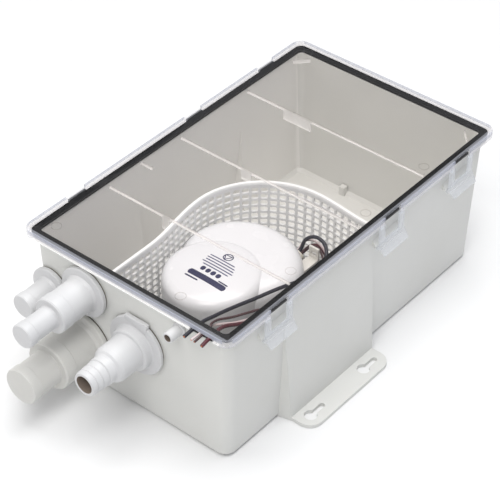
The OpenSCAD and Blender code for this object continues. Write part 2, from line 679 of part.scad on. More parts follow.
module cable_gland() {
  color([0.88, 0.86, 0.80]) translate(gland_p) rotate(gland_r) difference() {
    union() {
      translate([0, 0, -2]) cylinder(r = 5, h = 11);
      translate([0, 0, 3.4]) cylinder(r = 6.3, h = 2);
    }
    translate([0, 0, 7]) cylinder(r = 3.9, h = 6);
  }
}
module float_bracket() {
  color(c_white) difference() {
    union() {
      box([-10.4, -47, 7.5], [-2, -45.2, 32]);
      box([-10.4, -34.8, 7.5], [-2, -33, 32]);
      box([-10.4, -47, 30], [-2, -33, 32]);
    }
    translate([-6, -30, 17]) rotate([90, 0, 0]) cylinder(r = 1.2, h = 20);
  }
}
// block float on an arm that turns about the pin
module float() {
  color([0.86, 0.84, 0.78]) difference() {
    union() {
      box([5, -44, 9], [52, -28, 25]);
      box([-6, -42, 14.6], [6, -38, 19.4]);
      translate([-6, -35.2, 17]) rotate([90, 0, 0]) cylinder(r = 3, h = 9.6);
    }
    translate([-6, -30, 17]) rotate([90, 0, 0]) cylinder(r = 1.26, h = 20);
    // corner taken off the block's far end
    translate([52, -50, 25]) rotate([0, 45, 0]) cube([8, 60, 8], center = true);
  }
}
module float_pin() {
  color(c_steel) translate([-6, -33, 17]) rotate([90, 0, 0]) cylinder(r = 1.2, h = 14);
}
module float_switch() {
  color([0.16, 0.16, 0.18]) union() {
    box([-2, -45, 66], [26, -31, 84]);
    translate([20, -38, 49.4]) cylinder(r = 2, h = 17);
  }
}

// ---------------------------------------------------------------- leads
function unit(v) = v / norm(v);
function tans(Q) = [for (i = [0:len(Q) - 1]) unit(Q[min(i + 1, len(Q) - 1)] - Q[max(i - 1, 0)])];
function norms(T, n = [0, 0, 1], i = 0, acc = []) = i == len(T) ? acc :
  let (m = unit(n - (n * T[i]) * T[i])) norms(T, m, i + 1, concat(acc, [m]));

// round lead swept along its route, one ring at each route point
module lead(Q, r) {
  T = tans(Q);
  N = norms(T);
  n = 8;
  m = len(Q);
  polyhedron(
    points = [for (j = [0:m - 1]) for (i = [0:n - 1])
      Q[j] + r * (cos(360 * i / n) * N[j] + sin(360 * i / n) * cross(T[j], N[j]))],
    faces = concat(
      [[for (i = [0:n - 1]) i]],
      [for (j = [0:m - 2]) for (i = [0:n - 1])
        let (a = j * n + i, b = j * n + (i + 1) % n) [a, a + n, b + n]],
      [for (j = [0:m - 2]) for (i = [0:n - 1])
        let (a = j * n + i, b = j * n + (i + 1) % n) [a, b + n, b]],
      [[for (i = [n - 1:-1:0]) (m - 1) * n + i]]));
}

// routes: out of the gland, over in an arch behind the pump, forward along
// the near wall, up to the grommet and out in a short cut end
r_black = [[39, -12.4, 77.6], [39.5, -8.1, 80.3], [41.6, -6.4, 88], [48, -6, 94.2], [54.4, -6, 95.8], [60.8, -7.2, 93.4],
  [66, -12.6, 88.4], [70, -25, 86.6], [71.6, -40, 90.4], [70.8, -56, 95.6], [67.6, -73.6, 98.8], [64.2, -90, 100.4],
  [61.6, -104.8, 102.8], [61, -120, 107], [61.4, -134, 111.2], [62.4, -143, 114.8], [63.2, -149.4, 116.4],
  [63.2, -156.4, 116.4], [62.8, -164.8, 115.4]];
r_white = [[37, -11.4, 76], [37.1, -6.3, 79.3], [40.4, -4, 85.6], [46.4, -3.6, 88.6], [52.6, -3.6, 88.6], [58.4, -4.6, 85.8],
  [63.8, -8, 82], [68.6, -18, 80.8], [73, -34, 83], [75.8, -52, 87.4], [77.4, -72, 92.4], [77.2, -92, 97.6],
  [75.8, -110, 101.8], [73, -125.6, 106.6], [70.4, -134.6, 110.4], [69, -143, 113.6], [69.4, -149.4, 116.3],
  [69.4, -156.4, 116.3], [68.8, -164.4, 115.6]];
r_brown = [[41.2, -12, 76], [42.2, -7.6, 79.8], [45.4, -5.8, 84], [50.4, -5.4, 86], [55.4, -5.8, 84.6], [60, -8.4, 80.6],
  [65, -14.4, 76.8], [69, -26, 75.8], [72.6, -42, 77.4], [74, -62, 81.6], [74.6, -82, 89.8], [74.6, -99, 101.6],
  [74, -113.6, 107.8], [70.6, -124.4, 109.6], [68.4, -136, 114], [69.8, -144.6, 117.2], [71.8, -149.4, 116.4],
  [71.8, -156.4, 116.4], [71.2, -164, 115]];
r_red = [[39.2, -11, 74.4], [40.4, -6, 76.6], [44, -2.4, 81.2], [49.6, -1.2, 83.6], [55.6, -1.8, 82], [61, -5, 77.4],
  [66.6, -12, 72.8], [71.6, -24, 71.4], [76.4, -42, 76], [79.4, -62, 83], [81, -82, 90.6], [81.4, -100, 98.2],
  [80.8, -116, 105.2], [79, -128, 110.6], [77, -138, 114.8], [76.6, -144, 116.2], [77.6, -149.4, 116.4],
  [77.6, -156.4, 116.4], [78, -164.4, 115.4]];

module lead_black() { color([0.09, 0.09, 0.10]) lead(r_black, lead_r); }
module lead_white() { color([0.88, 0.87, 0.86]) lead(r_white, thin_r); }
module lead_brown() { color([0.27, 0.17, 0.17]) lead(r_brown, thin_r); }
module lead_red() { color([0.42, 0.15, 0.17]) lead(r_red, lead_r); }

module lead_grommet() {
  color(c_black) difference() {
    box([60.1, -155.8, tub_h], [83.9, -149.9, rim_top]);
    for (p = [[63.2, lead_r], [69.4, thin_r], [71.8, thin_r], [77.6, lead_r]])
      translate([p[0], -148, 116.35]) rotate([90, 0, 0]) cylinder(r = p[1] + 0.25, h = 10);
  }
}

tub();
foot_near();
foot_far();
lid();
lid_gasket();
latch_near_front();
latch_near_middle();
latch_near_rear();
latch_far_front();
latch_far_middle();
latch_far_rear();
inlet_small();
inlet_small_seal();
inlet_small_clip();
inlet_medium();
inlet_medium_seal();
inlet_medium_nut();
inlet_large();
inlet_large_seal();
inlet_large_nut();
outlet_barb();
outlet_seal();
outlet_nut();
discharge_elbow();
check_flap();
check_flap_pin();
discharge_hose();
hose_clamps();
vent_nipple();
lead_grommet();
strainer_front();
strainer_bend_1();
strainer_bend_2();
strainer_side();
pump_base();
pump_base_screws();
volute();
impeller();
shaft_seal();
motor_shaft();
lower_bushing();
upper_bushing();
armature();
commutator();
magnets();
brush_holder();
motor_can();
motor_housing();
motor_cap();
cap_ring();
float_housing();
float_bracket();
float();
float_pin();
float_switch();
cable_gland();
lead_black();
lead_white();
lead_brown();
lead_red();
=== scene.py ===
import json
import math

import bmesh
import bpy
import numpy as np
from mathutils import Matrix, Vector

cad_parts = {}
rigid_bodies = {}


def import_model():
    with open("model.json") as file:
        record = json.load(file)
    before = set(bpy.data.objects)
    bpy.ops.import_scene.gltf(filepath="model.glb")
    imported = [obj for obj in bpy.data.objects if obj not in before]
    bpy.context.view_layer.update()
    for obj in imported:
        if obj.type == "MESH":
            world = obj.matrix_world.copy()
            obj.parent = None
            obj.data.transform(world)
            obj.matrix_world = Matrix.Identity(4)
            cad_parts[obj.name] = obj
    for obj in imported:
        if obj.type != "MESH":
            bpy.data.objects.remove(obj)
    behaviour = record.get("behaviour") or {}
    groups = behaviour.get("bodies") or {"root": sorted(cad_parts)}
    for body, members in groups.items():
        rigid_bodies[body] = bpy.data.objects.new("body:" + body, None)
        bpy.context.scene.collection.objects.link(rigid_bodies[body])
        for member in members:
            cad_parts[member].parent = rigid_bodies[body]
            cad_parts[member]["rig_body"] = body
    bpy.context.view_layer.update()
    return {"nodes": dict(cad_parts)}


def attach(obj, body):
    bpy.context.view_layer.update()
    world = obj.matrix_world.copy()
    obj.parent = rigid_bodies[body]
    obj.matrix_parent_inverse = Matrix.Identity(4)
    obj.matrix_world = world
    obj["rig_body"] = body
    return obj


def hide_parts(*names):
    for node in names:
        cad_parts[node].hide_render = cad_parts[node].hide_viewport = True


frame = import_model()
MM = 0.001


# ------------------------------------------------------------------ camera
def make_camera():
    f, az, el, roll, tx, ty, d = 1853.872, 39.476, 39.794, 0.342, -12.235, 40.093, 1444.223
    a, e, r = math.radians(az), math.radians(el), math.radians(roll)
    back = Vector((math.sin(a) * math.cos(e), -math.cos(a) * math.cos(e), math.sin(e)))
    right = Vector((math.cos(a), math.sin(a), 0))
    up = back.cross(right)
    turn = Matrix(((math.cos(r), math.sin(r), 0), (-math.sin(r), math.cos(r), 0), (0, 0, 1)))
    axes = turn @ Matrix((right, up, back))
    place = axes.transposed() @ Vector((tx, ty, d)) * MM
    data = bpy.data.cameras.new("camera")
    data.sensor_width = 36
    data.lens = f / 500 * 36
    data.clip_end = 50
    cam = bpy.data.objects.new("camera", data)
    bpy.context.scene.collection.objects.link(cam)
    cam.matrix_world = Matrix.Translation(place) @ axes.transposed().to_4x4()
    bpy.context.scene.camera = cam
    return cam


make_camera()
bpy.context.scene.view_settings.view_transform = "Standard"


# --------------------------------------------------------------- materials
def lin(c):
    """A display colour 0-255 as a linear one."""
    out = []
    for v in c:
        v = v / 255
        out.append(v / 12.92 if v <= 0.04045 else ((v + 0.055) / 1.055) ** 2.4)
    return (*out, 1.0)


class Nodes:
    def __init__(self, name):
        self.mat = bpy.data.materials.new(name)
        self.mat.use_nodes = True
        self.t = self.mat.node_tree
        self.shader = self.t.nodes["Principled BSDF"]
        self.out = self.t.nodes["Material Output"]
        self.coord = self.t.nodes.new("ShaderNodeTexCoord").outputs["Object"]

    def new(self, kind, **values):
        n = self.t.nodes.new(kind)
        for k, v in values.items():
            if hasattr(n, k):
                setattr(n, k, v)
            else:
                n.inputs[k].default_value = v
        return n

    def link(self, a, b):
        self.t.links.new(a, b)

    def noise(self, scale, detail=3.0, rough=0.5, where=None):
        n = self.new("ShaderNodeTexNoise")
        n.inputs["Scale"].default_value = scale
        n.inputs["Detail"].default_value = detail
        n.inputs["Roughness"].default_value = rough
        self.link(where or self.coord, n.inputs["Vector"])
        return n.outputs["Fac"]

    def span(self, fac, lo, hi, a=0.35, b=0.65):
        n = self.new("ShaderNodeMapRange")
        n.inputs["From Min"].default_value = a
        n.inputs["From Max"].default_value = b
        n.inputs["To Min"].default_value = lo
        n.inputs["To Max"].default_value = hi
        self.link(fac, n.inputs["Value"])
        return n.outputs["Result"]

    def mix(self, fac, a, b):
        n = self.t.nodes.new("ShaderNodeMix")
        n.data_type = "RGBA"
        if hasattr(fac, "is_linked"):
            self.link(fac, n.inputs["Factor"])
        else:
            n.inputs["Factor"].default_value = fac
        for value, socket in ((a, n.inputs[6]), (b, n.inputs[7])):
            if hasattr(value, "is_linked"):
                self.link(value, socket)
            else:
                socket.default_value = value
        return n.outputs[2]

    def bump(self, height, strength, distance):
        n = self.new("ShaderNodeBump")
        n.inputs["Strength"].default_value = strength
        n.inputs["Distance"].default_value = distance
        self.link(height, n.inputs["Height"])
        self.link(n.outputs["Normal"], self.shader.inputs["Normal"])
        return n


def shade(c, k):
    return tuple(min(1.0, v * k) for v in c[:3]) + (1.0,)


def moulded(name, colour, rough=0.42, vary=0.05, scale=14, grain=1100, bump=0.12, depth=0.00006,
            coat=0.0, ior=1.5, tone=None, metallic=0.0, sheen=0.0):
    """Moulded plastic: broad tone drift, faint flow marks, fine grain and a roughness that wanders."""
    m = Nodes(name)
    base = lin(colour)
    other = lin(tone) if tone else shade(base, 1 - vary)
    drift = m.span(m.noise(scale, 4), 0, 1)
    c1 = m.mix(drift, base, other)
    flow = m.new("ShaderNodeMapping")
    flow.inputs["Scale"].default_value = (1.0, 1.0, 0.25)
    m.link(m.coord, flow.inputs["Vector"])
    streak = m.span(m.noise(scale * 6, 5, 0.6, flow.outputs["Vector"]), 0, 0.35, 0.45, 0.7)
    c2 = m.mix(streak, c1, shade(base, 1 - vary * 1.3))
    m.link(c2, m.shader.inputs["Base Color"])
    rr_ = m.span(m.noise(scale * 3, 3), rough - 0.05, rough + 0.06)
    m.link(rr_, m.shader.inputs["Roughness"])
    m.shader.inputs["IOR"].default_value = ior
    m.shader.inputs["Metallic"].default_value = metallic
    if coat:
        m.shader.inputs["Coat Weight"].default_value = coat
        m.shader.inputs["Coat Roughness"].default_value = 0.08
    if sheen:
        m.shader.inputs["Sheen Weight"].default_value = sheen
    m.bump(m.noise(grain, 2, 0.6), bump, depth)
    return m.mat


def clear(name, tint, shadow, body=(236, 238, 238), rough=0.06, low=0.05, high=0.5, start=0.35, ribs=None):
    """Clear moulded plastic: sight and lamps pass, and edges and grazing faces gather a pale gloss.
    ribs = (top of the ribs, their half length, rim from |X|, rim from |Y|, the skirt's foot, its
    top edge) in metres: the ribs get a patchy painted pale highlight, the rim band a little more of the
    pale body colour, the foot a painted white highlight line and the top edge a painted grey-blue reflection line."""
    m = Nodes(name)
    c = m.mix(m.span(m.noise(9, 3), 0, 1), lin(body), shade(lin(body), 0.95))
    m.link(c, m.shader.inputs["Base Color"])
    m.link(m.span(m.noise(60, 4), rough * 0.7, rough * 1.6), m.shader.inputs["Roughness"])
    m.shader.inputs["IOR"].default_value = 1.49
    through = m.new("ShaderNodeBsdfTransparent")
    m.link(m.mix(m.span(m.noise(6, 3), 0, 1), tint, shade(tint, 0.985)), through.inputs["Color"])
    edge = m.new("ShaderNodeLayerWeight")
    edge.inputs["Blend"].default_value = 0.5
    amount = m.span(edge.outputs["Facing"], low, high, start, 1.0)
    if ribs:
        split = m.new("ShaderNodeSeparateXYZ")
        m.link(m.coord, split.inputs["Vector"])

        def test(a, op, b):
            n = m.new("ShaderNodeMath")
            n.operation = op
            for v, k in ((a, 0), (b, 1)):
                if hasattr(v, "is_linked"):
                    m.link(v, n.inputs[k])
                else:
                    n.inputs[k].default_value = v
            return n.outputs[0]

        ax = test(split.outputs["X"], "ABSOLUTE", 0)
        ay = test(split.outputs["Y"], "ABSOLUTE", 0)
        inside = test(test(ax, "LESS_THAN", ribs[1]), "MULTIPLY", test(split.outputs["Z"], "LESS_THAN", ribs[0]))
        rim = test(test(ax, "GREATER_THAN", ribs[2]), "MAXIMUM", test(ay, "GREATER_THAN", ribs[3]))
        # painted highlight: the ribs under the plate get a patchy pale white
        patch = m.span(m.noise(40, 3), 0.5, 0.66)
        amount = test(amount, "MAXIMUM", test(inside, "MULTIPLY", patch))
        amount = test(amount, "MAXIMUM", test(rim, "MULTIPLY", m.span(m.noise(12, 2), 0.24, 0.28)))
        # painted highlight: a bright white line along the skirt's foot
        painted_foot_highlight = test(rim, "MULTIPLY", test(split.outputs["Z"], "LESS_THAN", ribs[4]))
        # painted reflection: a grey-blue line along the lid's top outer edge
        outer = test(test(ax, "GREATER_THAN", ribs[2] + 0.0025), "MAXIMUM", test(ay, "GREATER_THAN", ribs[3] + 0.0025))
        painted_top_edge_reflection = test(outer, "MULTIPLY", test(split.outputs["Z"], "GREATER_THAN", ribs[5]))
        amount = test(amount, "MAXIMUM", test(painted_foot_highlight, "MULTIPLY", 0.9))
        amount = test(amount, "MAXIMUM", test(painted_top_edge_reflection, "MULTIPLY", 0.55))
        # the painted rib and foot highlights take near-white, the painted top-edge reflection grey-blue
        c = m.mix(test(inside, "MAXIMUM", painted_foot_highlight), c, lin((250, 250, 249)))
        c = m.mix(painted_top_edge_reflection, c, lin((176, 180, 196)))
        m.link(c, m.shader.inputs["Base Color"])
    both = m.new("ShaderNodeMixShader")
    m.link(amount, both.inputs["Fac"])
    m.link(through.outputs["BSDF"], both.inputs[1])
    m.link(m.shader.outputs["BSDF"], both.inputs[2])
    lamp = m.new("ShaderNodeBsdfTransparent")
    lamp.inputs["Color"].default_value = shadow
    path = m.new("ShaderNodeLightPath")
    last = m.new("ShaderNodeMixShader")
    m.link(path.outputs["Is Shadow Ray"], last.inputs["Fac"])
    m.link(both.outputs["Shader"], last.inputs[1])
    m.link(lamp.outputs["BSDF"], last.inputs[2])
    m.link(last.outputs["Shader"], m.out.inputs["Surface"])
    return m.mat


M = {
    "tub": moulded("tub_plastic", (217, 217, 214), rough=0.46, vary=0.035, scale=9, grain=900, bump=0.16,
                   tone=(212, 212, 208)),
    "white": moulded("fitting_plastic", (205, 205, 206), rough=0.4, vary=0.03, scale=22, grain=1400, bump=0.1),
    "grey": moulded("large_inlet_plastic", (205, 204, 200), rough=0.44, vary=0.035, scale=22, grain=1300, bump=0.12),
    "gloss": moulded("pump_plastic", (226, 227, 230), rough=0.24, vary=0.02, scale=16, grain=700, bump=0.04,
                     coat=0.35),
    "screen": moulded("strainer_plastic", (240, 241, 241), rough=0.34, vary=0.03, scale=30, grain=1200, bump=0.06),
    # the lid's ribs, skirt foot and top edge get painted highlight and reflection lines by position
    "clear": clear("lid_clear", (0.965, 0.952, 0.945, 1), (0.985, 0.98, 0.975, 1), body=(214, 217, 226), low=0.01, high=0.7,
                   start=0.45, ribs=(0.1182, 0.0872, 0.0932, 0.1558, 0.1152, 0.1203)),
    "tab": clear("latch_clear", (0.955, 0.96, 0.97, 1), (0.95, 0.955, 0.96, 1), body=(240, 242, 246), rough=0.12, low=0.2, high=0.95,
                 start=0.45),
    "seal": moulded("flange_seal", (112, 108, 100), rough=0.6, vary=0.1, scale=40, grain=1500, bump=0.2, ior=1.45),
    "tab_white": moulded("tab_nylon", (214, 212, 206), rough=0.35, vary=0.04, scale=40, grain=1200, bump=0.08),
    "rubber": moulded("seal_rubber", (20, 21, 23), rough=0.5, vary=0.25, scale=30, grain=1500, bump=0.2, ior=1.45,
                      tone=(15, 16, 18)),
    "black": moulded("black_plastic", (36, 36, 39), rough=0.36, vary=0.2, scale=30, grain=1200, bump=0.12),
    "steel": moulded("steel", (186, 187, 190), rough=0.26, vary=0.08, scale=40, grain=2600, bump=0.1, metallic=1.0),
    "copper": moulded("copper", (196, 120, 82), rough=0.32, vary=0.15, scale=60, grain=2000, bump=0.15, metallic=1.0),
    "bronze": moulded("bushing_bronze", (170, 130, 78), rough=0.38, vary=0.1, scale=60, grain=2200, bump=0.2,
                      metallic=1.0),
    "magnet": moulded("magnet_ferrite", (62, 62, 66), rough=0.6, vary=0.15, scale=60, grain=1700, bump=0.3),
    "phenolic": moulded("brush_holder_phenolic", (64, 48, 34), rough=0.5, vary=0.2, scale=50, grain=1500, bump=0.25),
    "winding": moulded("armature_winding", (150, 86, 48), rough=0.4, vary=0.25, scale=160, grain=1800, bump=0.6,
                       depth=0.0002),
    "foam": moulded("float_plastic", (222, 216, 200), rough=0.55, vary=0.05, scale=40, grain=900, bump=0.3),
    "ivory": moulded("gland_plastic", (226, 222, 210), rough=0.4, vary=0.04, scale=40, grain=1200, bump=0.1),
    "lead_black": moulded("lead_black_pvc", (38, 38, 48), rough=0.42, vary=0.15, scale=60, grain=1500, bump=0.1),
    "lead_white": moulded("lead_white_pvc", (208, 194, 194), rough=0.42, vary=0.06, scale=60, grain=1500, bump=0.1),
    "lead_brown": moulded("lead_brown_pvc", (76, 52, 54), rough=0.42, vary=0.15, scale=60, grain=1500, bump=0.1),
    "lead_red": moulded("lead_red_pvc", (88, 40, 48), rough=0.42, vary=0.12, scale=60, grain=1500, bump=0.1),
    "ink_soft": moulded("label_ink_fine", (84, 86, 118), rough=0.5, vary=0.2, scale=90, grain=1500, bump=0.1),
    "ink": moulded("label_ink", (40, 40, 78), rough=0.5, vary=0.2, scale=90, grain=1500, bump=0.1),
}


def with_painted_bore_shade(mat, name, centre, r, colour):
    """The same plastic with painted shade in a bore about Y: the bore's faces take a darker colour that stands in for
    the shade deep inside it. centre and r in mm.
    """
    mat = mat.copy()
    mat.name = name
    t = mat.node_tree
    shader = t.nodes["Principled BSDF"]
    was = shader.inputs["Base Color"].links[0].from_socket
    flat = t.nodes.new("ShaderNodeMapping")
    flat.inputs["Scale"].default_value = (1, 0, 1)
    t.links.new(t.nodes.new("ShaderNodeTexCoord").outputs["Object"], flat.inputs["Vector"])
    away = t.nodes.new("ShaderNodeVectorMath")
    away.operation = "DISTANCE"
    t.links.new(flat.outputs["Vector"], away.inputs[0])
    away.inputs[1].default_value = (centre[0] * MM, 0, centre[1] * MM)
    near = t.nodes.new("ShaderNodeMath")
    near.operation = "LESS_THAN"
    t.links.new(away.outputs["Value"], near.inputs[0])
    near.inputs[1].default_value = (r + 0.06) * MM
    # painted shade: faces within the bore's radius take the darker colour
    mix = t.nodes.new("ShaderNodeMix")
    mix.data_type = "RGBA"
    t.links.new(near.outputs[0], mix.inputs["Factor"])
    t.links.new(was, mix.inputs[6])
    mix.inputs[7].default_value = lin(colour)
    t.links.new(mix.outputs[2], shader.inputs["Base Color"])
    return mat


def paint_light_on_inner_wall(mat, colour, side, end):
    """Painted light on a thin wall: inner faces beyond X = -side and within |Y| = end are given a lighter
    colour that stands in for daylight reaching through the wall from outside. Both in metres."""
    t = mat.node_tree
    shader = t.nodes["Principled BSDF"]
    was = shader.inputs["Base Color"].links[0].from_socket
    coord = t.nodes.new("ShaderNodeTexCoord")
    total = None
    for out, axis, op, limit in (("Normal", "X", "GREATER_THAN", -0.3), ("Normal", "Z", "LESS_THAN", 0.5),
                                 ("Object", "X", "LESS_THAN", -side), ("Object", "Y", "GREATER_THAN", -end),
                                 ("Object", "Y", "LESS_THAN", end)):
        split = t.nodes.new("ShaderNodeSeparateXYZ")
        t.links.new(coord.outputs[out], split.inputs["Vector"])
        n = t.nodes.new("ShaderNodeMath")
        n.operation = op
        t.links.new(split.outputs[axis], n.inputs[0])
        n.inputs[1].default_value = limit
        if total is None:
            total = n.outputs[0]
        else:
            both = t.nodes.new("ShaderNodeMath")
            both.operation = "MULTIPLY"
            t.links.new(total, both.inputs[0])
            t.links.new(n.outputs[0], both.inputs[1])
            total = both.outputs[0]
    # painted light: the masked inner faces take the lighter colour
    mix = t.nodes.new("ShaderNodeMix")
    mix.data_type = "RGBA"
    t.links.new(total, mix.inputs["Factor"])
    t.links.new(was, mix.inputs[6])
    mix.inputs[7].default_value = lin(colour)
    t.links.new(mix.outputs[2], shader.inputs["Base Color"])


# painted light: the inner face of the far wall is coloured lighter
paint_light_on_inner_wall(M["tub"], (230, 229, 226), 0.075, 0.1455)


def wear_material(obj, mat):
    obj.data.materials.clear()
    obj.data.materials.append(mat)


# ------------------------------------------------------------------- leads
R_BLACK = [[39, -12.4, 77.6], [39.5, -8.1, 80.3], [41.6, -6.4, 88], [48, -6, 94.2], [54.4, -6, 95.8], [60.8, -7.2, 93.4],
           [66, -12.6, 88.4], [70, -25, 86.6], [71.6, -40, 90.4], [70.8, -56, 95.6], [67.6, -73.6, 98.8],
           [64.2, -90, 100.4], [61.6, -104.8, 102.8], [61, -120, 107], [61.4, -134, 111.2], [62.4, -143, 114.8],
           [63.2, -149.4, 116.4], [63.2, -156.4, 116.4], [62.8, -164.8, 115.4]]
R_WHITE = [[37, -11.4, 76], [37.1, -6.3, 79.3], [40.4, -4, 85.6], [46.4, -3.6, 88.6], [52.6, -3.6, 88.6],
           [58.4, -4.6, 85.8], [63.8, -8, 82], [68.6, -18, 80.8], [73, -34, 83], [75.8, -52, 87.4], [77.4, -72, 92.4],
           [77.2, -92, 97.6], [75.8, -110, 101.8], [73, -125.6, 106.6], [70.4, -134.6, 110.4], [69, -143, 113.6],
           [69.4, -149.4, 116.3], [69.4, -156.4, 116.3], [68.8, -164.4, 115.6]]
R_BROWN = [[41.2, -12, 76], [42.2, -7.6, 79.8], [45.4, -5.8, 84], [50.4, -5.4, 86], [55.4, -5.8, 84.6], [60, -8.4, 80.6],
           [65, -14.4, 76.8], [69, -26, 75.8], [72.6, -42, 77.4], [74, -62, 81.6], [74.6, -82, 89.8],
           [74.6, -99, 101.6], [74, -113.6, 107.8], [70.6, -124.4, 109.6], [68.4, -136, 114], [69.8, -144.6, 117.2],
           [71.8, -149.4, 116.4], [71.8, -156.4, 116.4], [71.2, -164, 115]]
R_RED = [[39.2, -11, 74.4], [40.4, -6, 76.6], [44, -2.4, 81.2], [49.6, -1.2, 83.6], [55.6, -1.8, 82], [61, -5, 77.4],
         [66.6, -12, 72.8], [71.6, -24, 71.4], [76.4, -42, 76], [79.4, -62, 83], [81, -82, 90.6], [81.4, -100, 98.2],
         [80.8, -116, 105.2], [79, -128, 110.6], [77, -138, 114.8], [76.6, -144, 116.2], [77.6, -149.4, 116.4],
         [77.6, -156.4, 116.4], [78, -164.4, 115.4]]


def smooth_route(points, per=6):
    """A centripetal curve through the route's points, as many short steps, in metres."""
    P = np.array(points, float) * MM
    P = np.vstack([2 * P[0] - P[1], P, 2 * P[-1] - P[-2]])
    out = [P[1]]
    for i in range(1, len(P) - 2):
        p0, p1, p2, p3 = P[i - 1:i + 3]
        t0 = 0.0
        t1 = t0 + np.linalg.norm(p1 - p0) ** 0.5
        t2 = t1 + np.linalg.norm(p2 - p1) ** 0.5
        t3 = t2 + np.linalg.norm(p3 - p2) ** 0.5
        for k in range(1, per + 1):
            t = t1 + (t2 - t1) * k / per
            a1 = (t1 - t) / (t1 - t0) * p0 + (t - t0) / (t1 - t0) * p1
            a2 = (t2 - t) / (t2 - t1) * p1 + (t - t1) / (t2 - t1) * p2
            a3 = (t3 - t) / (t3 - t2) * p2 + (t - t2) / (t3 - t2) * p3
            b1 = (t2 - t) / (t2 - t0) * a1 + (t - t0) / (t2 - t0) * a2
            b2 = (t3 - t) / (t3 - t1) * a2 + (t - t1) / (t3 - t1) * a3
            out.append((t2 - t) / (t2 - t1) * b1 + (t - t1) / (t2 - t1) * b2)
    return np.array(out)


def make_mesh(name, verts, faces, mat, smooth=True, sharp=35, body=None, replaces=()):
    me = bpy.data.meshes.new(name)
    me.from_pydata([tuple(v) for v in verts], [], [tuple(f) for f in faces])
    bm = bmesh.new()
    bm.from_mesh(me)
    bmesh.ops.remove_doubles(bm, verts=bm.verts, dist=1e-7)
    bmesh.ops.recalc_face_normals(bm, faces=bm.faces)
    bm.to_mesh(me)
    bm.free()
    return place_mesh(name, me, mat, smooth, sharp, body, replaces)


def place_mesh(name, me, mat, smooth=True, sharp=35, body=None, replaces=()):
    me.polygons.foreach_set("use_smooth", [smooth] * len(me.polygons))
    if smooth:
        me.set_sharp_from_angle(angle=math.radians(sharp))
    ob = bpy.data.objects.new(name, me)
    bpy.context.scene.collection.objects.link(ob)
    me.materials.clear()
    if mat:
        me.materials.append(mat)
    if replaces:
        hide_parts(*replaces)
    if body:
        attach(ob, body)
    return ob


def make_lead(name, route, radius, mat):
    pts = smooth_route(route)
    data = bpy.data.curves.new(name, "CURVE")
    data.dimensions = "3D"
    data.bevel_depth = radius * MM
    data.bevel_resolution = 5
    data.use_fill_caps = True
    s = data.splines.new("POLY")
    s.points.add(len(pts) - 1)
    s.points.foreach_set("co", np.column_stack([pts, np.ones(len(pts))]).ravel())
    s.use_smooth = True
    data.materials.append(mat)
    ob = bpy.data.objects.new(name, data)
    bpy.context.scene.collection.objects.link(ob)
    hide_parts(name.replace("_wire", ""))
    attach(ob, "base")
    # stranded copper core, cut flush
    end, way = pts[-1], pts[-1] - pts[-2]
    way = Vector(way).normalized()
    turn = Vector((0, 0, 1)).rotation_difference(way).to_matrix()
    verts, faces = [], []
    core = radius * 0.52
    for k in range(7):
        ang = k * math.pi / 3
        c = Vector((0, 0, 0)) if k == 6 else Vector((math.cos(ang), math.sin(ang), 0)) * core * 0.64
        n = len(verts)
        for z, r in ((-1.2, 0.31), (0.22, 0.31), (0.34, 0.22)):
            for j in range(8):
                a = j * math.pi / 4
                p = c + Vector((math.cos(a), math.sin(a), 0)) * core * r + Vector((0, 0, z))
                verts.append(Vector(end) + turn @ (p * MM))
        for lay in range(2):
            for j in range(8):
                faces.append((n + lay * 8 + j, n + lay * 8 + (j + 1) % 8, n + lay * 8 + 8 + (j + 1) % 8, n + lay * 8 + 8 + j))
        faces.append(tuple(n + j for j in range(7, -1, -1)))
        faces.append(tuple(n + 16 + j for j in range(8)))
    strands = make_mesh(name.replace("_wire", "_strands"), verts, faces, M["copper"], body="base")
    return ob


make_lead("lead_black_wire", R_BLACK, 1.4, M["lead_black"])
make_lead("lead_white_wire", R_WHITE, 0.9, M["lead_white"])
make_lead("lead_brown_wire", R_BROWN, 0.9, M["lead_brown"])
make_lead("lead_red_wire", R_RED, 1.4, M["lead_red"])


# ------------------------------------------------------------------ shapes
def body_of(node):
    return frame["nodes"][node]["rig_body"]


def joined_copy(first, others):
    """One mesh from CAD nodes that are moulded together."""
    ob = bpy.data.objects.new(first + "_join", frame["nodes"][first].data.copy())
    bpy.context.scene.collection.objects.link(ob)
    tmp = []
    for n in others:
        o = bpy.data.objects.new(n + "_join", frame["nodes"][n].data.copy())
        bpy.context.scene.collection.objects.link(o)
        tmp.append(o)
        mod = ob.modifiers.new("add", "BOOLEAN")
        mod.operation = "UNION"
        mod.solver = "EXACT"
        mod.object = o
    dg = bpy.context.evaluated_depsgraph_get()
    me = bpy.data.meshes.new_from_object(ob.evaluated_get(dg))
    for o in [ob] + tmp:
        bpy.data.objects.remove(o)
    return me


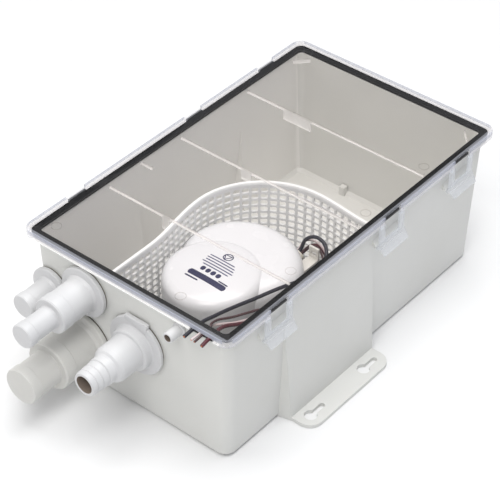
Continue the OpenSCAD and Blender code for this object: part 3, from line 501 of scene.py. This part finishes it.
def refined_mesh(node, width=0.5, segments=2, angle=30, flat=0.6, others=()):
    """A copy of a CAD node's mesh with its edges rounded, in millimetres of width."""
    src = joined_copy(node, others) if others else frame["nodes"][node].data
    bm = bmesh.new()
    bm.from_mesh(src)
    bmesh.ops.remove_doubles(bm, verts=bm.verts, dist=0.004 * MM)
    bmesh.ops.dissolve_degenerate(bm, edges=bm.edges, dist=0.002 * MM)
    bmesh.ops.dissolve_limit(bm, angle_limit=math.radians(flat), verts=bm.verts, edges=bm.edges,
                             use_dissolve_boundaries=False)
    bmesh.ops.recalc_face_normals(bm, faces=bm.faces)
    me = bpy.data.meshes.new(node + "_shape")
    bm.to_mesh(me)
    bm.free()
    if width:
        ob = bpy.data.objects.new(node + "_tmp", me)
        bpy.context.scene.collection.objects.link(ob)
        mod = ob.modifiers.new("round", "BEVEL")
        mod.width = width * MM
        mod.segments = segments
        mod.limit_method = "ANGLE"
        mod.angle_limit = math.radians(angle)
        mod.use_clamp_overlap = True
        mod.miter_outer = "MITER_ARC"
        mod.loop_slide = True
        dg = bpy.context.evaluated_depsgraph_get()
        new = bpy.data.meshes.new_from_object(ob.evaluated_get(dg))
        bpy.data.objects.remove(ob)
        me = new
    return me


def even_normals(me, sharp):
    """Shading normals weighted by face area, so that broad faces stay flat up to their rounded edges."""
    me.polygons.foreach_set("use_smooth", [True] * len(me.polygons))
    me.set_sharp_from_angle(angle=math.radians(sharp))
    ob = bpy.data.objects.new("normals_tmp", me)
    bpy.context.scene.collection.objects.link(ob)
    mod = ob.modifiers.new("even", "WEIGHTED_NORMAL")
    mod.keep_sharp = True
    mod.weight = 90
    dg = bpy.context.evaluated_depsgraph_get()
    new = bpy.data.meshes.new_from_object(ob.evaluated_get(dg))
    bpy.data.objects.remove(ob)
    return new


def refine(node, mat, width=0.5, segments=2, angle=30, sharp=38, name=None, flat=0.6, others=()):
    me = even_normals(refined_mesh(node, width, segments, angle, flat, others), sharp)
    return place_mesh(name or node + "_fine", me, mat, True, sharp, body_of(node), (node, *others))


def rounded(profile, r, steps=3):
    """Rounds the corners of a closed profile of (radius, run) points that lie off the axis."""
    out = []
    n = len(profile)
    for i in range(n):
        p = Vector(profile[i])
        a = Vector(profile[i - 1]) - p
        b = Vector(profile[(i + 1) % n]) - p
        if p.x < 1e-6 or a.length < 1e-9 or b.length < 1e-9:
            out.append(tuple(p))
            continue
        turn = math.pi - a.angle(b)
        if turn < math.radians(12):
            out.append(tuple(p))
            continue
        reach = min(r * math.tan(turn / 2), 0.42 * a.length, 0.42 * b.length)
        s = p + a.normalized() * reach
        e = p + b.normalized() * reach
        for k in range(steps + 1):
            t = k / steps
            out.append(tuple(s * (1 - t) ** 2 + p * 2 * t * (1 - t) + e * t * t))
    return out


def lathe_geo(profile, place, axis, seg=128, r=0.35):
    """Verts and faces of a turned piece. place maps (radial a, radial b, run) to mm."""
    prof = rounded(profile, r)
    verts, faces, rings = [], [], []
    for (rad, run) in prof:
        if rad < 1e-6:
            rings.append([len(verts)])
            verts.append(Vector(place(0, 0, run)) * MM)
        else:
            rings.append(list(range(len(verts), len(verts) + seg)))
            for k in range(seg):
                t = 2 * math.pi * k / seg
                verts.append(Vector(place(rad * math.cos(t), rad * math.sin(t), run)) * MM)
    m = len(rings)
    for i in range(m):
        a, b = rings[i], rings[(i + 1) % m]
        if len(a) == 1 and len(b) == 1:
            continue
        for k in range(seg):
            j = (k + 1) % seg
            if len(a) == 1:
                faces.append((a[0], b[k], b[j]))
            elif len(b) == 1:
                faces.append((a[k], b[0], a[j]))
            else:
                faces.append((a[k], b[k], b[j], a[j]))
    return verts, faces


def out_from(p, y):
    return lambda a, b, run: (p[0] + a, y - run, p[1] + b)


def upward(c):
    return lambda a, b, run: (c[0] + a, c[1] + b, run)


def lathe(name, profile, place, mat, body, replaces=(), seg=128, r=0.35, sharp=32):
    v, f = lathe_geo(profile, place, None, seg, r)
    return make_mesh(name, v, f, mat, True, sharp, body, replaces)


def prism_geo(poly, lo, hi, place, r=0.0):
    n = len(poly)
    verts = [Vector(place(p[0], p[1], z)) * MM for z in (lo, hi) for p in poly]
    faces = [tuple(range(n - 1, -1, -1)), tuple(range(n, 2 * n))]
    faces += [(i, (i + 1) % n, n + (i + 1) % n, n + i) for i in range(n)]
    return verts, faces


def join_geo(*parts):
    V, F = [], []
    for v, f in parts:
        n = len(V)
        V += list(v)
        F += [tuple(i + n for i in x) for x in f]
    return V, F


def bevelled(name, verts, faces, mat, body, replaces=(), width=0.4, segments=2, angle=30, sharp=38):
    me = bpy.data.meshes.new(name + "_raw")
    me.from_pydata([tuple(v) for v in verts], [], [tuple(f) for f in faces])
    bm = bmesh.new()
    bm.from_mesh(me)
    bmesh.ops.recalc_face_normals(bm, faces=bm.faces)
    bm.to_mesh(me)
    bm.free()
    ob = bpy.data.objects.new(name + "_tmp", me)
    bpy.context.scene.collection.objects.link(ob)
    mod = ob.modifiers.new("round", "BEVEL")
    mod.width = width * MM
    mod.segments = segments
    mod.limit_method = "ANGLE"
    mod.angle_limit = math.radians(angle)
    dg = bpy.context.evaluated_depsgraph_get()
    new = bpy.data.meshes.new_from_object(ob.evaluated_get(dg))
    bpy.data.objects.remove(ob)
    return place_mesh(name, new, mat, True, sharp, body, replaces)


# --------------------------------------------------------------------- tub
refine("tub", M["tub"], width=0.7, segments=3, flat=0.08, others=("foot_near", "foot_far"))
refine("lid_gasket", M["rubber"], width=0.35)
refine("lead_grommet", M["rubber"], width=0.3)

# --------------------------------------------------------------- lid, latches
refine("lid", M["clear"], width=0.55, segments=3)
for side in ("near", "far"):
    for spot in ("front", "middle", "rear"):
        refine(f"latch_{side}_{spot}", M["tab"], width=0.5, segments=3)

# ---------------------------------------------------------------- fittings
PAD = {"s": -151.782, "m": -152.179, "l": -150.842, "o": -151.582, "v": -152.576}
INLET_S, INLET_M, INLET_L = (-75.8, 75.3), (-40.9, 90.4), (-46.6, 39.6)
OUTLET, VENT = (7.6, 67.7), (48, 105.5)

lathe("inlet_small_turned", [
    [0, 29.2], [6.8, 29.2], [6.8, -7.4], [7.9, -7.4], [8.2, -7], [8.2, 1.2], [16.3, 1.2], [16.3, 4],
    [15.6, 4.6], [10.4, 5], [9.3, 7], [9, 24], [9.6, 24.6], [9.6, 30.2], [8.9, 31.3], [0, 31.3]],
    out_from(INLET_S, PAD["s"]), M["white"], "base", ["inlet_small"], r=0.3)
lathe("inlet_medium_turned", [
    [0, 62.6], [6.8, 62.6], [6.8, 36], [11.4, 34], [11.4, -12], [14.6, -12], [14.6, 1.2], [20.4, 1.2],
    [20.4, 3.9], [19.8, 4.5], [15.2, 5], [13.9, 7.5], [13.6, 26.4], [14.3, 27], [14.3, 36.3],
    [13.4, 37.3], [9.4, 37.3], [9, 38], [9, 57], [9.6, 57.6], [9.6, 63.8], [8.9, 64.8], [0, 64.8]],
    out_from(INLET_M, PAD["m"]), M["white"], "base", ["inlet_medium"], r=0.3)
lathe("inlet_large_turned", [
    [0, 64.4], [11.4, 64.4], [11.4, 38], [16.4, 36], [16.4, -12], [19.6, -12], [19.6, 1.2], [25.7, 1.2],
    [25.7, 4], [25, 4.6], [20.6, 5.2], [19.1, 7.6], [18.8, 28.4], [19.5, 29], [19.5, 38.2],
    [18.6, 39.3], [14.2, 39.3], [13.8, 40], [13.8, 58.4], [14.5, 59], [14.5, 65.8],
    [13.9, 66.8], [0, 66.8]],
    out_from(INLET_L, PAD["l"]), M["grey"], "base", ["inlet_large"], r=0.3)

barb = lathe_geo([
    [12.1, -8.4], [15, -8.4], [15, 1.2], [24.4, 1.2], [24.4, 3.4], [23.8, 4], [18.4, 4.4], [17.4, 5.4],
    [17, 10.4], [16.2, 11.2], [14.5, 11.6], [14.2, 29], [13.2, 31.6], [11.6, 33], [10.9, 34.4],
    [10.9, 39.6], [9.7, 40.4], [10.5, 41], [10, 45.4], [9.3, 46], [10.2, 46.6], [9.7, 51],
    [9.1, 51.4], [9.9, 52], [9.3, 55.2], [8.9, 55.8], [7, 55.8], [7, 33.4], [12.1, 28.6]],
    out_from(OUTLET, PAD["o"]), None, 144, 0.25)
# painted shade: the outlet's bore is coloured dark brown
make_mesh("outlet_barb_turned", *barb, with_painted_bore_shade(M["white"], "outlet_plastic_bore_shade", OUTLET, 7.0, (138, 126, 116)), True, 32,
          "base", ["outlet_barb"])
lug = prism_geo([[-9, 22.6], [11.4, 17], [12.6, 25.6], [-8.6, 25.6]], 1.25, 4.8, out_from(OUTLET, PAD["o"]))
bevelled("outlet_lug", *lug, M["white"], "base", width=0.5, segments=3)

# painted shade: the vent's bore is coloured dark brown
lathe("vent_nipple_turned", [
    [2.8, -5.2], [6, -5.2], [6, -3.8], [4.2, -3.8], [4.2, -0.02], [5.4, 0], [5.4, 1.4], [4.2, 1.8],
    [4.2, 12.4], [3.8, 12.9], [2.8, 12.9]], out_from(VENT, PAD["v"]),
    with_painted_bore_shade(M["white"], "vent_plastic_bore_shade", VENT, 2.8, (128, 116, 106)), "base", ["vent_nipple"],
    seg=64, r=0.3)

for n in ("inlet_medium_nut", "inlet_large_nut", "outlet_nut"):
    refine(n, M["white"], width=0.4)
for n in ("inlet_small_seal", "inlet_medium_seal", "inlet_large_seal", "outlet_seal"):
    refine(n, M["seal"], width=0.2)
refine("discharge_hose", M["rubber"], width=0.2)
for n in ("inlet_small_clip", "hose_clamps", "check_flap_pin", "float_pin", "motor_shaft", "motor_can",
          "pump_base_screws"):
    refine(n, M["steel"], width=0.15)
for n in ("discharge_elbow", "check_flap"):
    refine(n, M["black"], width=0.3)

# ---------------------------------------------------------------- strainer
STR_TOP, STR_T = 113.8, 1.8


def bezier(a, b, c, d, t):
    return a * (1 - t) ** 3 + 3 * b * t * (1 - t) ** 2 + 3 * c * t * t * (1 - t) + d * t ** 3


def strainer():
    P = [np.array((-21, -144.6 + 38.6 * i / 10)) for i in range(10)]
    q = [np.array(v, float) for v in ((-21, -106), (-21, -86), (-28.6, -66), (-28.6, -44))]
    P += [bezier(*q, i / 14) for i in range(14)]
    q = [np.array(v, float) for v in ((-28.6, -44), (-28.6, -13), (-2, 17.3), (36, 17.3))]
    P += [bezier(*q, i / 24) for i in range(24)]
    q = [np.array(v, float) for v in ((36, 17.3), (52, 17.3), (68, 13.2), (83, 13.2))]
    P += [bezier(*q, i / 10) for i in range(11)]
    P = np.array(P)
    run = np.concatenate([[0], np.cumsum(np.linalg.norm(np.diff(P, axis=0), axis=1))])
    total = run[-1]

    def at(s):
        s = min(max(s, 0), total)
        x, y = np.interp(s, run, P[:, 0]), np.interp(s, run, P[:, 1])
        lo, hi = max(s - 1.5, 0), min(s + 1.5, total)
        d = np.array([np.interp(hi, run, P[:, 0]) - np.interp(lo, run, P[:, 0]),
                      np.interp(hi, run, P[:, 1]) - np.interp(lo, run, P[:, 1])])
        d /= np.linalg.norm(d)
        return np.array((x, y)), np.array((-d[1], d[0]))

    edge, z0, z1 = 3.2, 8.2, STR_TOP - 4.6
    cols = int(round((total - 2 * edge) / 7.0))
    rows = int(round((z1 - z0) / 5.9))
    ps, pz = (total - 2 * edge) / cols, (z1 - z0) / rows
    grid = {}
    verts, faces = [], []

    def put(s, z, k):
        key = (round(s, 4), round(z, 4), round(k, 4))
        if key not in grid:
            p, n = at(s)
            w = p + n * k
            grid[key] = len(verts)
            verts.append(Vector((w[0], w[1], z)) * MM)
        return grid[key]

    h = STR_T / 2
    S = [0, edge] + [edge + ps * i for i in range(1, cols + 1)] + [total]
    Z = [3.4, z0] + [z0 + pz * i for i in range(1, rows + 1)] + [STR_TOP - 3]
    for i in range(len(S) - 1):
        for j in range(len(Z) - 1):
            s0, s1, a, b = S[i], S[i + 1], Z[j], Z[j + 1]
            hole = 1 <= i < len(S) - 2 and 1 <= j < len(Z) - 2
            if not hole:
                steps = max(1, int((s1 - s0) / 3.5))
                for k, turn in ((h, False), (-h, True)):
                    loop = [put(s0, a, k), put(s1, a, k), put(s1, b, k), put(s0, b, k)]
                    faces.append(loop[::-1] if turn else loop)
                continue
            ring = {}
            cut = 0.13
            for name, k, bar in (("f", h, 0.82), ("m", 0.0, 0.62), ("b", -h, 0.82)):
                x0, x1, y0, y1 = s0 + bar, s1 - bar, a + bar, b - bar
                cx, cy = (x1 - x0) * cut, (y1 - y0) * cut
                loop = [(x0 + cx, y0), (x1 - cx, y0), (x1, y0 + cy), (x1, y1 - cy),
                        (x1 - cx, y1), (x0 + cx, y1), (x0, y1 - cy), (x0, y0 + cy)]
                ring[name] = [put(x, y, k) for x, y in loop]
            for name, k, turn in (("f", h, False), ("b", -h, True)):
                c = [put(s0, a, k), put(s1, a, k), put(s1, b, k), put(s0, b, k)]
                r = ring[name]
                loops = [[c[0], c[1], r[1], r[0]], [c[1], r[2], r[1]], [c[1], c[2], r[3], r[2]], [c[2], r[4], r[3]],
                         [c[2], c[3], r[5], r[4]], [c[3], r[6], r[5]], [c[3], c[0], r[7], r[6]], [c[0], r[0], r[7]]]
                faces.extend(x[::-1] if turn else x for x in loops)
            for u, w in (("f", "m"), ("m", "b")):
                for q_ in range(8):
                    faces.append([ring[u][q_], ring[u][(q_ + 1) % 8], ring[w][(q_ + 1) % 8], ring[w][q_]])
    # edges of the sheet, and the smooth band along its top
    for i in range(len(S) - 1):
        faces.append([put(S[i], Z[0], h), put(S[i], Z[0], -h), put(S[i + 1], Z[0], -h), put(S[i + 1], Z[0], h)])
    for j in range(len(Z) - 1):
        for s, turn in ((S[0], False), (S[-1], True)):
            loop = [put(s, Z[j], h), put(s, Z[j + 1], h), put(s, Z[j + 1], -h), put(s, Z[j], -h)]
            faces.append(loop[::-1] if turn else loop)
    zt = Z[-1]
    sect = [(h, zt), (h + 0.5, zt + 0.35), (h + 0.5, STR_TOP - 0.5), (h + 0.15, STR_TOP), (-h - 0.15, STR_TOP),
            (-h - 0.5, STR_TOP - 0.5), (-h - 0.5, zt + 0.35), (-h, zt)]
    for i in range(len(S) - 1):
        for (k0, a), (k1, b) in zip(sect[:-1], sect[1:]):
            faces.append([put(S[i], a, k0), put(S[i + 1], a, k0), put(S[i + 1], b, k1), put(S[i], b, k1)])
    for s, turn in ((S[0], False), (S[-1], True)):
        loop = [put(s, a, k) for k, a in sect]
        faces.append(loop[::-1] if turn else loop)
    ob = make_mesh("strainer_mesh", verts, faces, M["screen"], True, 50, "strainer",
                   ["strainer_front", "strainer_bend_1", "strainer_bend_2", "strainer_side"])
    return ob


strainer()

# -------------------------------------------------------------------- pump
PUMP_C, MOTOR_R = (21, -86), 37.5
FLOAT_C, FLOAT_AB = (22.9, -57), (46.8, 42.8)

for n in ("pump_base", "volute", "float_bracket", "impeller"):
    refine(n, M["white"], width=0.35)
refine("motor_housing", M["gloss"], width=0.4)


def pump_shell():
    """The oval shell: an upright wall, a full soft shoulder and a slightly crowned top, hollow inside."""
    def ringset(inset, top, low):
        rings = [(0.0, low), (0.0, (low + 86) / 2), (0.0, 84.0)]
        for t in range(10, 91, 8):
            c, s_ = math.cos(math.radians(t)), math.sin(math.radians(t))
            rings.append((15.5 * (1 - c ** 0.8), 84.0 + (top - 84.6) * s_ ** 0.9))
        for k in (0.75, 0.5, 0.25):
            rings.append((15.5 + (FLOAT_AB[1] - 15.5 - inset) * (1 - k), top - 0.55 * k * k))
        return [(inset + d, z) for d, z in rings]

    seg = 144
    verts, faces = [], []

    def build(rs, flip):
        first = len(verts)
        for d, z in rs:
            for k in range(seg):
                t = 2 * math.pi * k / seg
                share = max(0.0, 1 - d / FLOAT_AB[1])
                grow = FLOAT_AB[0] - FLOAT_AB[1]
                verts.append(Vector((FLOAT_C[0] + (FLOAT_AB[0] - d - grow * (1 - share) * 0.9) * math.cos(t),
                                     FLOAT_C[1] + (FLOAT_AB[1] - d) * math.sin(t), z)) * MM)
        for i in range(len(rs) - 1):
            for k in range(seg):
                j = (k + 1) % seg
                a = first + i * seg
                q = (a + k, a + j, a + seg + j, a + seg + k)
                faces.append(q[::-1] if flip else q)
        verts.append(Vector((FLOAT_C[0], FLOAT_C[1], rs[-1][1] + 0.02)) * MM)
        a = first + (len(rs) - 1) * seg
        for k in range(seg):
            j = (k + 1) % seg
            faces.append((a + k, len(verts) - 1, a + j) if flip else (a + k, a + j, len(verts) - 1))
        return first

    a = build(ringset(0.0, 99.0, 22.3), False)
    b = build(ringset(2.4, 96.2, 22.3), True)
    for k in range(seg):
        j = (k + 1) % seg
        faces.append((a + j, a + k, b + k, b + j))
    make_mesh("pump_shell", verts, faces, M["gloss"], True, 45, "base", ["float_housing"])


pump_shell()


def box_geo(lo, hi):
    v = [Vector((x, y, z)) * MM for z in (lo[2], hi[2]) for y in (lo[1], hi[1]) for x in (lo[0], hi[0])]
    f = [(0, 2, 3, 1), (4, 5, 7, 6), (0, 1, 5, 4), (1, 3, 7, 5), (3, 2, 6, 7), (2, 0, 4, 6)]
    return v, f


bevelled("shell_tab", *join_geo(box_geo((48.5, -29, 78), (57.3, -9, 79.8)), box_geo((48.5, -10.8, 78.4), (57.3, -9, 82.6)),
                                box_geo((48.5, -10.8, 85.2), (57.3, -9, 89.5)), box_geo((48.5, -10.8, 82.4), (50.6, -9, 85.4)),
                                box_geo((55.2, -10.8, 82.4), (57.3, -9, 85.4)), box_geo((52, -27, 76), (53.8, -10, 79))),
         M["tab_white"], "base", width=0.3)
for n in ("shaft_seal", "cap_ring"):
    refine(n, M["rubber"], width=0.12)
for n in ("lower_bushing", "upper_bushing"):
    refine(n, M["bronze"], width=0.15)
refine("armature", M["winding"], width=0.25)
refine("commutator", M["copper"], width=0.15)
refine("magnets", M["magnet"], width=0.25)
refine("brush_holder", M["phenolic"], width=0.25)
refine("float", M["foam"], width=0.5)
refine("float_switch", M["black"], width=0.4)
refine("cable_gland", M["ivory"], width=0.3)


def cap_top(r):
    """Height of the cap's outer face at a radius, in mm."""
    pts = [(0, 102.1), (3, 102.08), (8, 102.0), (14, 101.75), (20, 101.35), (26, 100.75), (30.7, 100.11), (33.5, 99.1)]
    return float(np.interp(r, [p[0] for p in pts], [p[1] for p in pts]))


def motor_cap():
    outer = [(37.5, 78.3), (37.5, 90.6)]
    outer += [(29.5 + 8 * math.cos(math.radians(t)), 92.0 + 8.2 * math.sin(math.radians(t))) for t in range(0, 82, 6)]
    outer += [(26, 100.75), (20, 101.35), (14, 101.75), (8, 102.0), (3, 102.08), (0, 102.1)]
    prof = [(0, 98.4), (28, 98), (33, 96), (36, 91), (36, 78.0), (37.2, 78.0)] + outer
    lathe("motor_cap_turned", prof, upward(PUMP_C), M["gloss"], "base", ["motor_cap"], seg=160, r=0.5, sharp=40)


motor_cap()

# ----------------------------------------------------------- printed panel
def film(name, patches, mat, body, lift=0.1, sink=0.12):
    """A thin printed layer on the cap. Each patch maps (u, v), both 0 to 1, to a place in mm from the cap's axis."""
    V, F = [], []
    for fn, nu, nv, wrap in patches:
        cols = nu if wrap else nu + 1
        base = len(V)
        for k, dz in ((0, lift), (1, -sink)):
            for i in range(cols):
                for j in range(nv + 1):
                    x, y = fn(i / nu, j / nv)
                    z = cap_top(math.hypot(x, y)) + dz
                    V.append(Vector((PUMP_C[0] + x, PUMP_C[1] + y, z)) * MM)
        lay = cols * (nv + 1)

        def at(i, j, k):
            return base + k * lay + (i % cols) * (nv + 1) + j

        for i in range(nu):
            for j in range(nv):
                F.append((at(i, j, 0), at(i + 1, j, 0), at(i + 1, j + 1, 0), at(i, j + 1, 0)))
                F.append((at(i, j, 1), at(i, j + 1, 1), at(i + 1, j + 1, 1), at(i + 1, j, 1)))
            for j in (0, nv):
                F.append((at(i, j, 0), at(i, j, 1), at(i + 1, j, 1), at(i + 1, j, 0)))
        if not wrap:
            for i in (0, nu):
                for j in range(nv):
                    F.append((at(i, j, 0), at(i, j + 1, 0), at(i, j + 1, 1), at(i, j, 1)))
    return make_mesh(name, V, F, mat, True, 40, body)


def bar(x0, x1, y, h):
    def fn(u, v):
        x = x0 + (x1 - x0) * u
        r = min(h * 0.35, (x1 - x0) / 2)
        d = min(x - x0, x1 - x)
        cut = 0 if d >= r else r - math.sqrt(max(0, r * r - (r - d) ** 2))
        return x, y + (h - 2 * cut) * (v - 0.5)
    return fn, max(8, int((x1 - x0) / 0.8)), 4, False


def ring(cx, cy, r0, r1):
    return (lambda u, v: (cx + (r0 + (r1 - r0) * v) * math.cos(2 * math.pi * u),
                          cy + (r0 + (r1 - r0) * v) * math.sin(2 * math.pi * u))), 48, 2, True


def stroke(a, b, w):
    a, b = np.array(a, float), np.array(b, float)
    d = (b - a) / np.linalg.norm(b - a)
    n = np.array((-d[1], d[0])) * w

    def fn(u, v):
        p = a + (b - a) * u + n * (v - 0.5)
        return float(p[0]), float(p[1])
    return fn, 8, 2, False


def panel():
    tri = [(3.4 * math.cos(math.radians(t)), 15.7 + 3.4 * math.sin(math.radians(t))) for t in (-90, 30, 150)]
    film("label_symbol", [ring(0.7, 15.7, 3.2, 4.0)] + [stroke(tri[i], tri[(i + 1) % 3], 0.7) for i in range(3)],
         M["ink"], "base")
    film("label_lines", [bar(-11.6, 11.4, 10.3, 1.0), bar(-12.0, 13.4, 7.6, 1.0), bar(-11.2, 14.6, 4.9, 1.0),
                         bar(-12.0, 15.8, 2.2, 1.0), bar(-9.4, 14.0, -0.5, 1.0)], M["ink_soft"], "base")
    film("label_blocks", [bar(-7.2 + 4.7 * k, -3.5 + 4.7 * k, -4.9, 4.4) for k in range(4)], M["ink"], "base")
    film("label_band", [bar(-12.4, 21.0, -12.4, 5.2), bar(-12, 0, -17.2, 1.3), bar(12.0, 20.6, -8.6, 1.2)],
         M["ink"], "base")


panel()

# --------------------------------------------------------- small lid details
LATCH_Y = (-104, 26, 113.5)
LID_Z, SKIRT_Z = 120.8, 116.9


def lid_marks():
    parts = []
    for x, y in ((38, -140), (79, -71), (80, 14), (80, 86), (78, -150), (-80, 150), (79, 150), (-80, -140)):
        parts.append(lathe_geo([(3.55, LID_Z - 0.22), (4.15, LID_Z - 0.22), (4.15, LID_Z + 0.4), (3.55, LID_Z + 0.4)],
                               upward((x, y)), None, 48, 0.12))
    v, f = join_geo(*parts)
    make_mesh("lid_marks", v, f, M["clear"], True, 40, "lid")
    gussets = []
    for sx in (-1, 1):
        a, b = Vector((sx * 84.6, 136.5)), Vector((sx * 75.0, 146.6))
        n = Vector((a.y - b.y, b.x - a.x)).normalized() * 0.5
        plan = [a + n, b + n, b - n, a - n]
        v = [Vector((q.x, q.y, z)) * MM for z in (115.2, 118.6) for q in plan]
        f = [(0, 1, 2, 3), (7, 6, 5, 4)] + [(i, (i + 1) % 4, 4 + (i + 1) % 4, 4 + i) for i in range(4)]
        gussets.append((v, f))
    bevelled("lid_corner_ribs", *join_geo(*gussets), M["clear"], "lid", width=0.2)


lid_marks()


def latch_hinges():
    for side, sx in (("near", 1), ("far", -1)):
        for spot, y in zip(("front", "middle", "rear"), LATCH_Y):
            parts = []
            for s in (-1, 1):
                y0, y1 = sorted((y + s * 10.2, y + s * 14.0))
                sect = [(94.75, 114.2), (96.2, 114.2), (95.75, 116.0), (95.75, 117.6), (95.15, 117.6), (95.15, 116.0)]
                n = len(sect)
                v = [Vector((sx * p[0], yy, p[1])) * MM for yy in (y0, y1) for p in sect]
                f = [tuple(range(n)), tuple(range(2 * n - 1, n - 1, -1))]
                f += [(i, (i + 1) % n, n + (i + 1) % n, n + i) for i in range(n)]
                parts.append((v, f))
            bevelled(f"hinge_{side}_{spot}", *join_geo(*parts), M["tab"], f"latch_{side}_{spot}", width=0.2, segments=2)


latch_hinges()

# -------------------------------------------------------------------- rest
for o in frame["nodes"].values():
    if not o.hide_render:
        wear_material(o, M["white"])


# ------------------------------------------------------------------- stage
def stage():
    m = Nodes("floor_paper")
    c = m.mix(m.span(m.noise(2.5, 3), 0, 1), lin((234, 234, 234)), lin((231, 231, 231)))
    m.link(c, m.shader.inputs["Base Color"])
    m.shader.inputs["Roughness"].default_value = 0.8
    m.shader.inputs["Specular IOR Level"].default_value = 0.1
    me = bpy.data.meshes.new("floor")
    s = 4.0
    me.from_pydata([(-s, -s, -0.0002), (s, -s, -0.0002), (s, s, -0.0002), (-s, s, -0.0002)], [], [(0, 1, 2, 3)])
    ob = bpy.data.objects.new("floor", me)
    bpy.context.scene.collection.objects.link(ob)
    me.materials.append(m.mat)

    world = bpy.data.worlds.new("studio")
    bpy.context.scene.world = world
    world.use_nodes = True
    world.node_tree.nodes["Background"].inputs[0].default_value = (0.97, 0.98, 1.0, 1)
    world.node_tree.nodes["Background"].inputs[1].default_value = 0.4

    def area(name, at, to, size, power, colour=(1, 1, 1)):
        d = bpy.data.lights.new(name, "AREA")
        d.shape = "RECTANGLE"
        d.size, d.size_y = size
        d.energy = power
        d.color = colour
        o = bpy.data.objects.new(name, d)
        bpy.context.scene.collection.objects.link(o)
        o.location = at
        o.rotation_euler = (Vector(to) - Vector(at)).to_track_quat("-Z", "Y").to_euler()

    area("key", (0.42, -1.02, 1.5), (0, 0, 0.05), (0.8, 0.8), 11.8, (1.0, 0.995, 0.99))
    area("left", (-1.2, -0.9, 0.9), (0, 0, 0.05), (0.8, 0.8), 3.9, (1.0, 0.985, 0.955))
    area("side", (1.5, 0.1, 0.7), (0, 0, 0.05), (0.7, 0.9), 0.8, (0.4, 0.56, 1.0))
    area("top", (0.0, 0.1, 1.6), (0, 0, 0.05), (1.3, 1.3), 21.5)


stage()
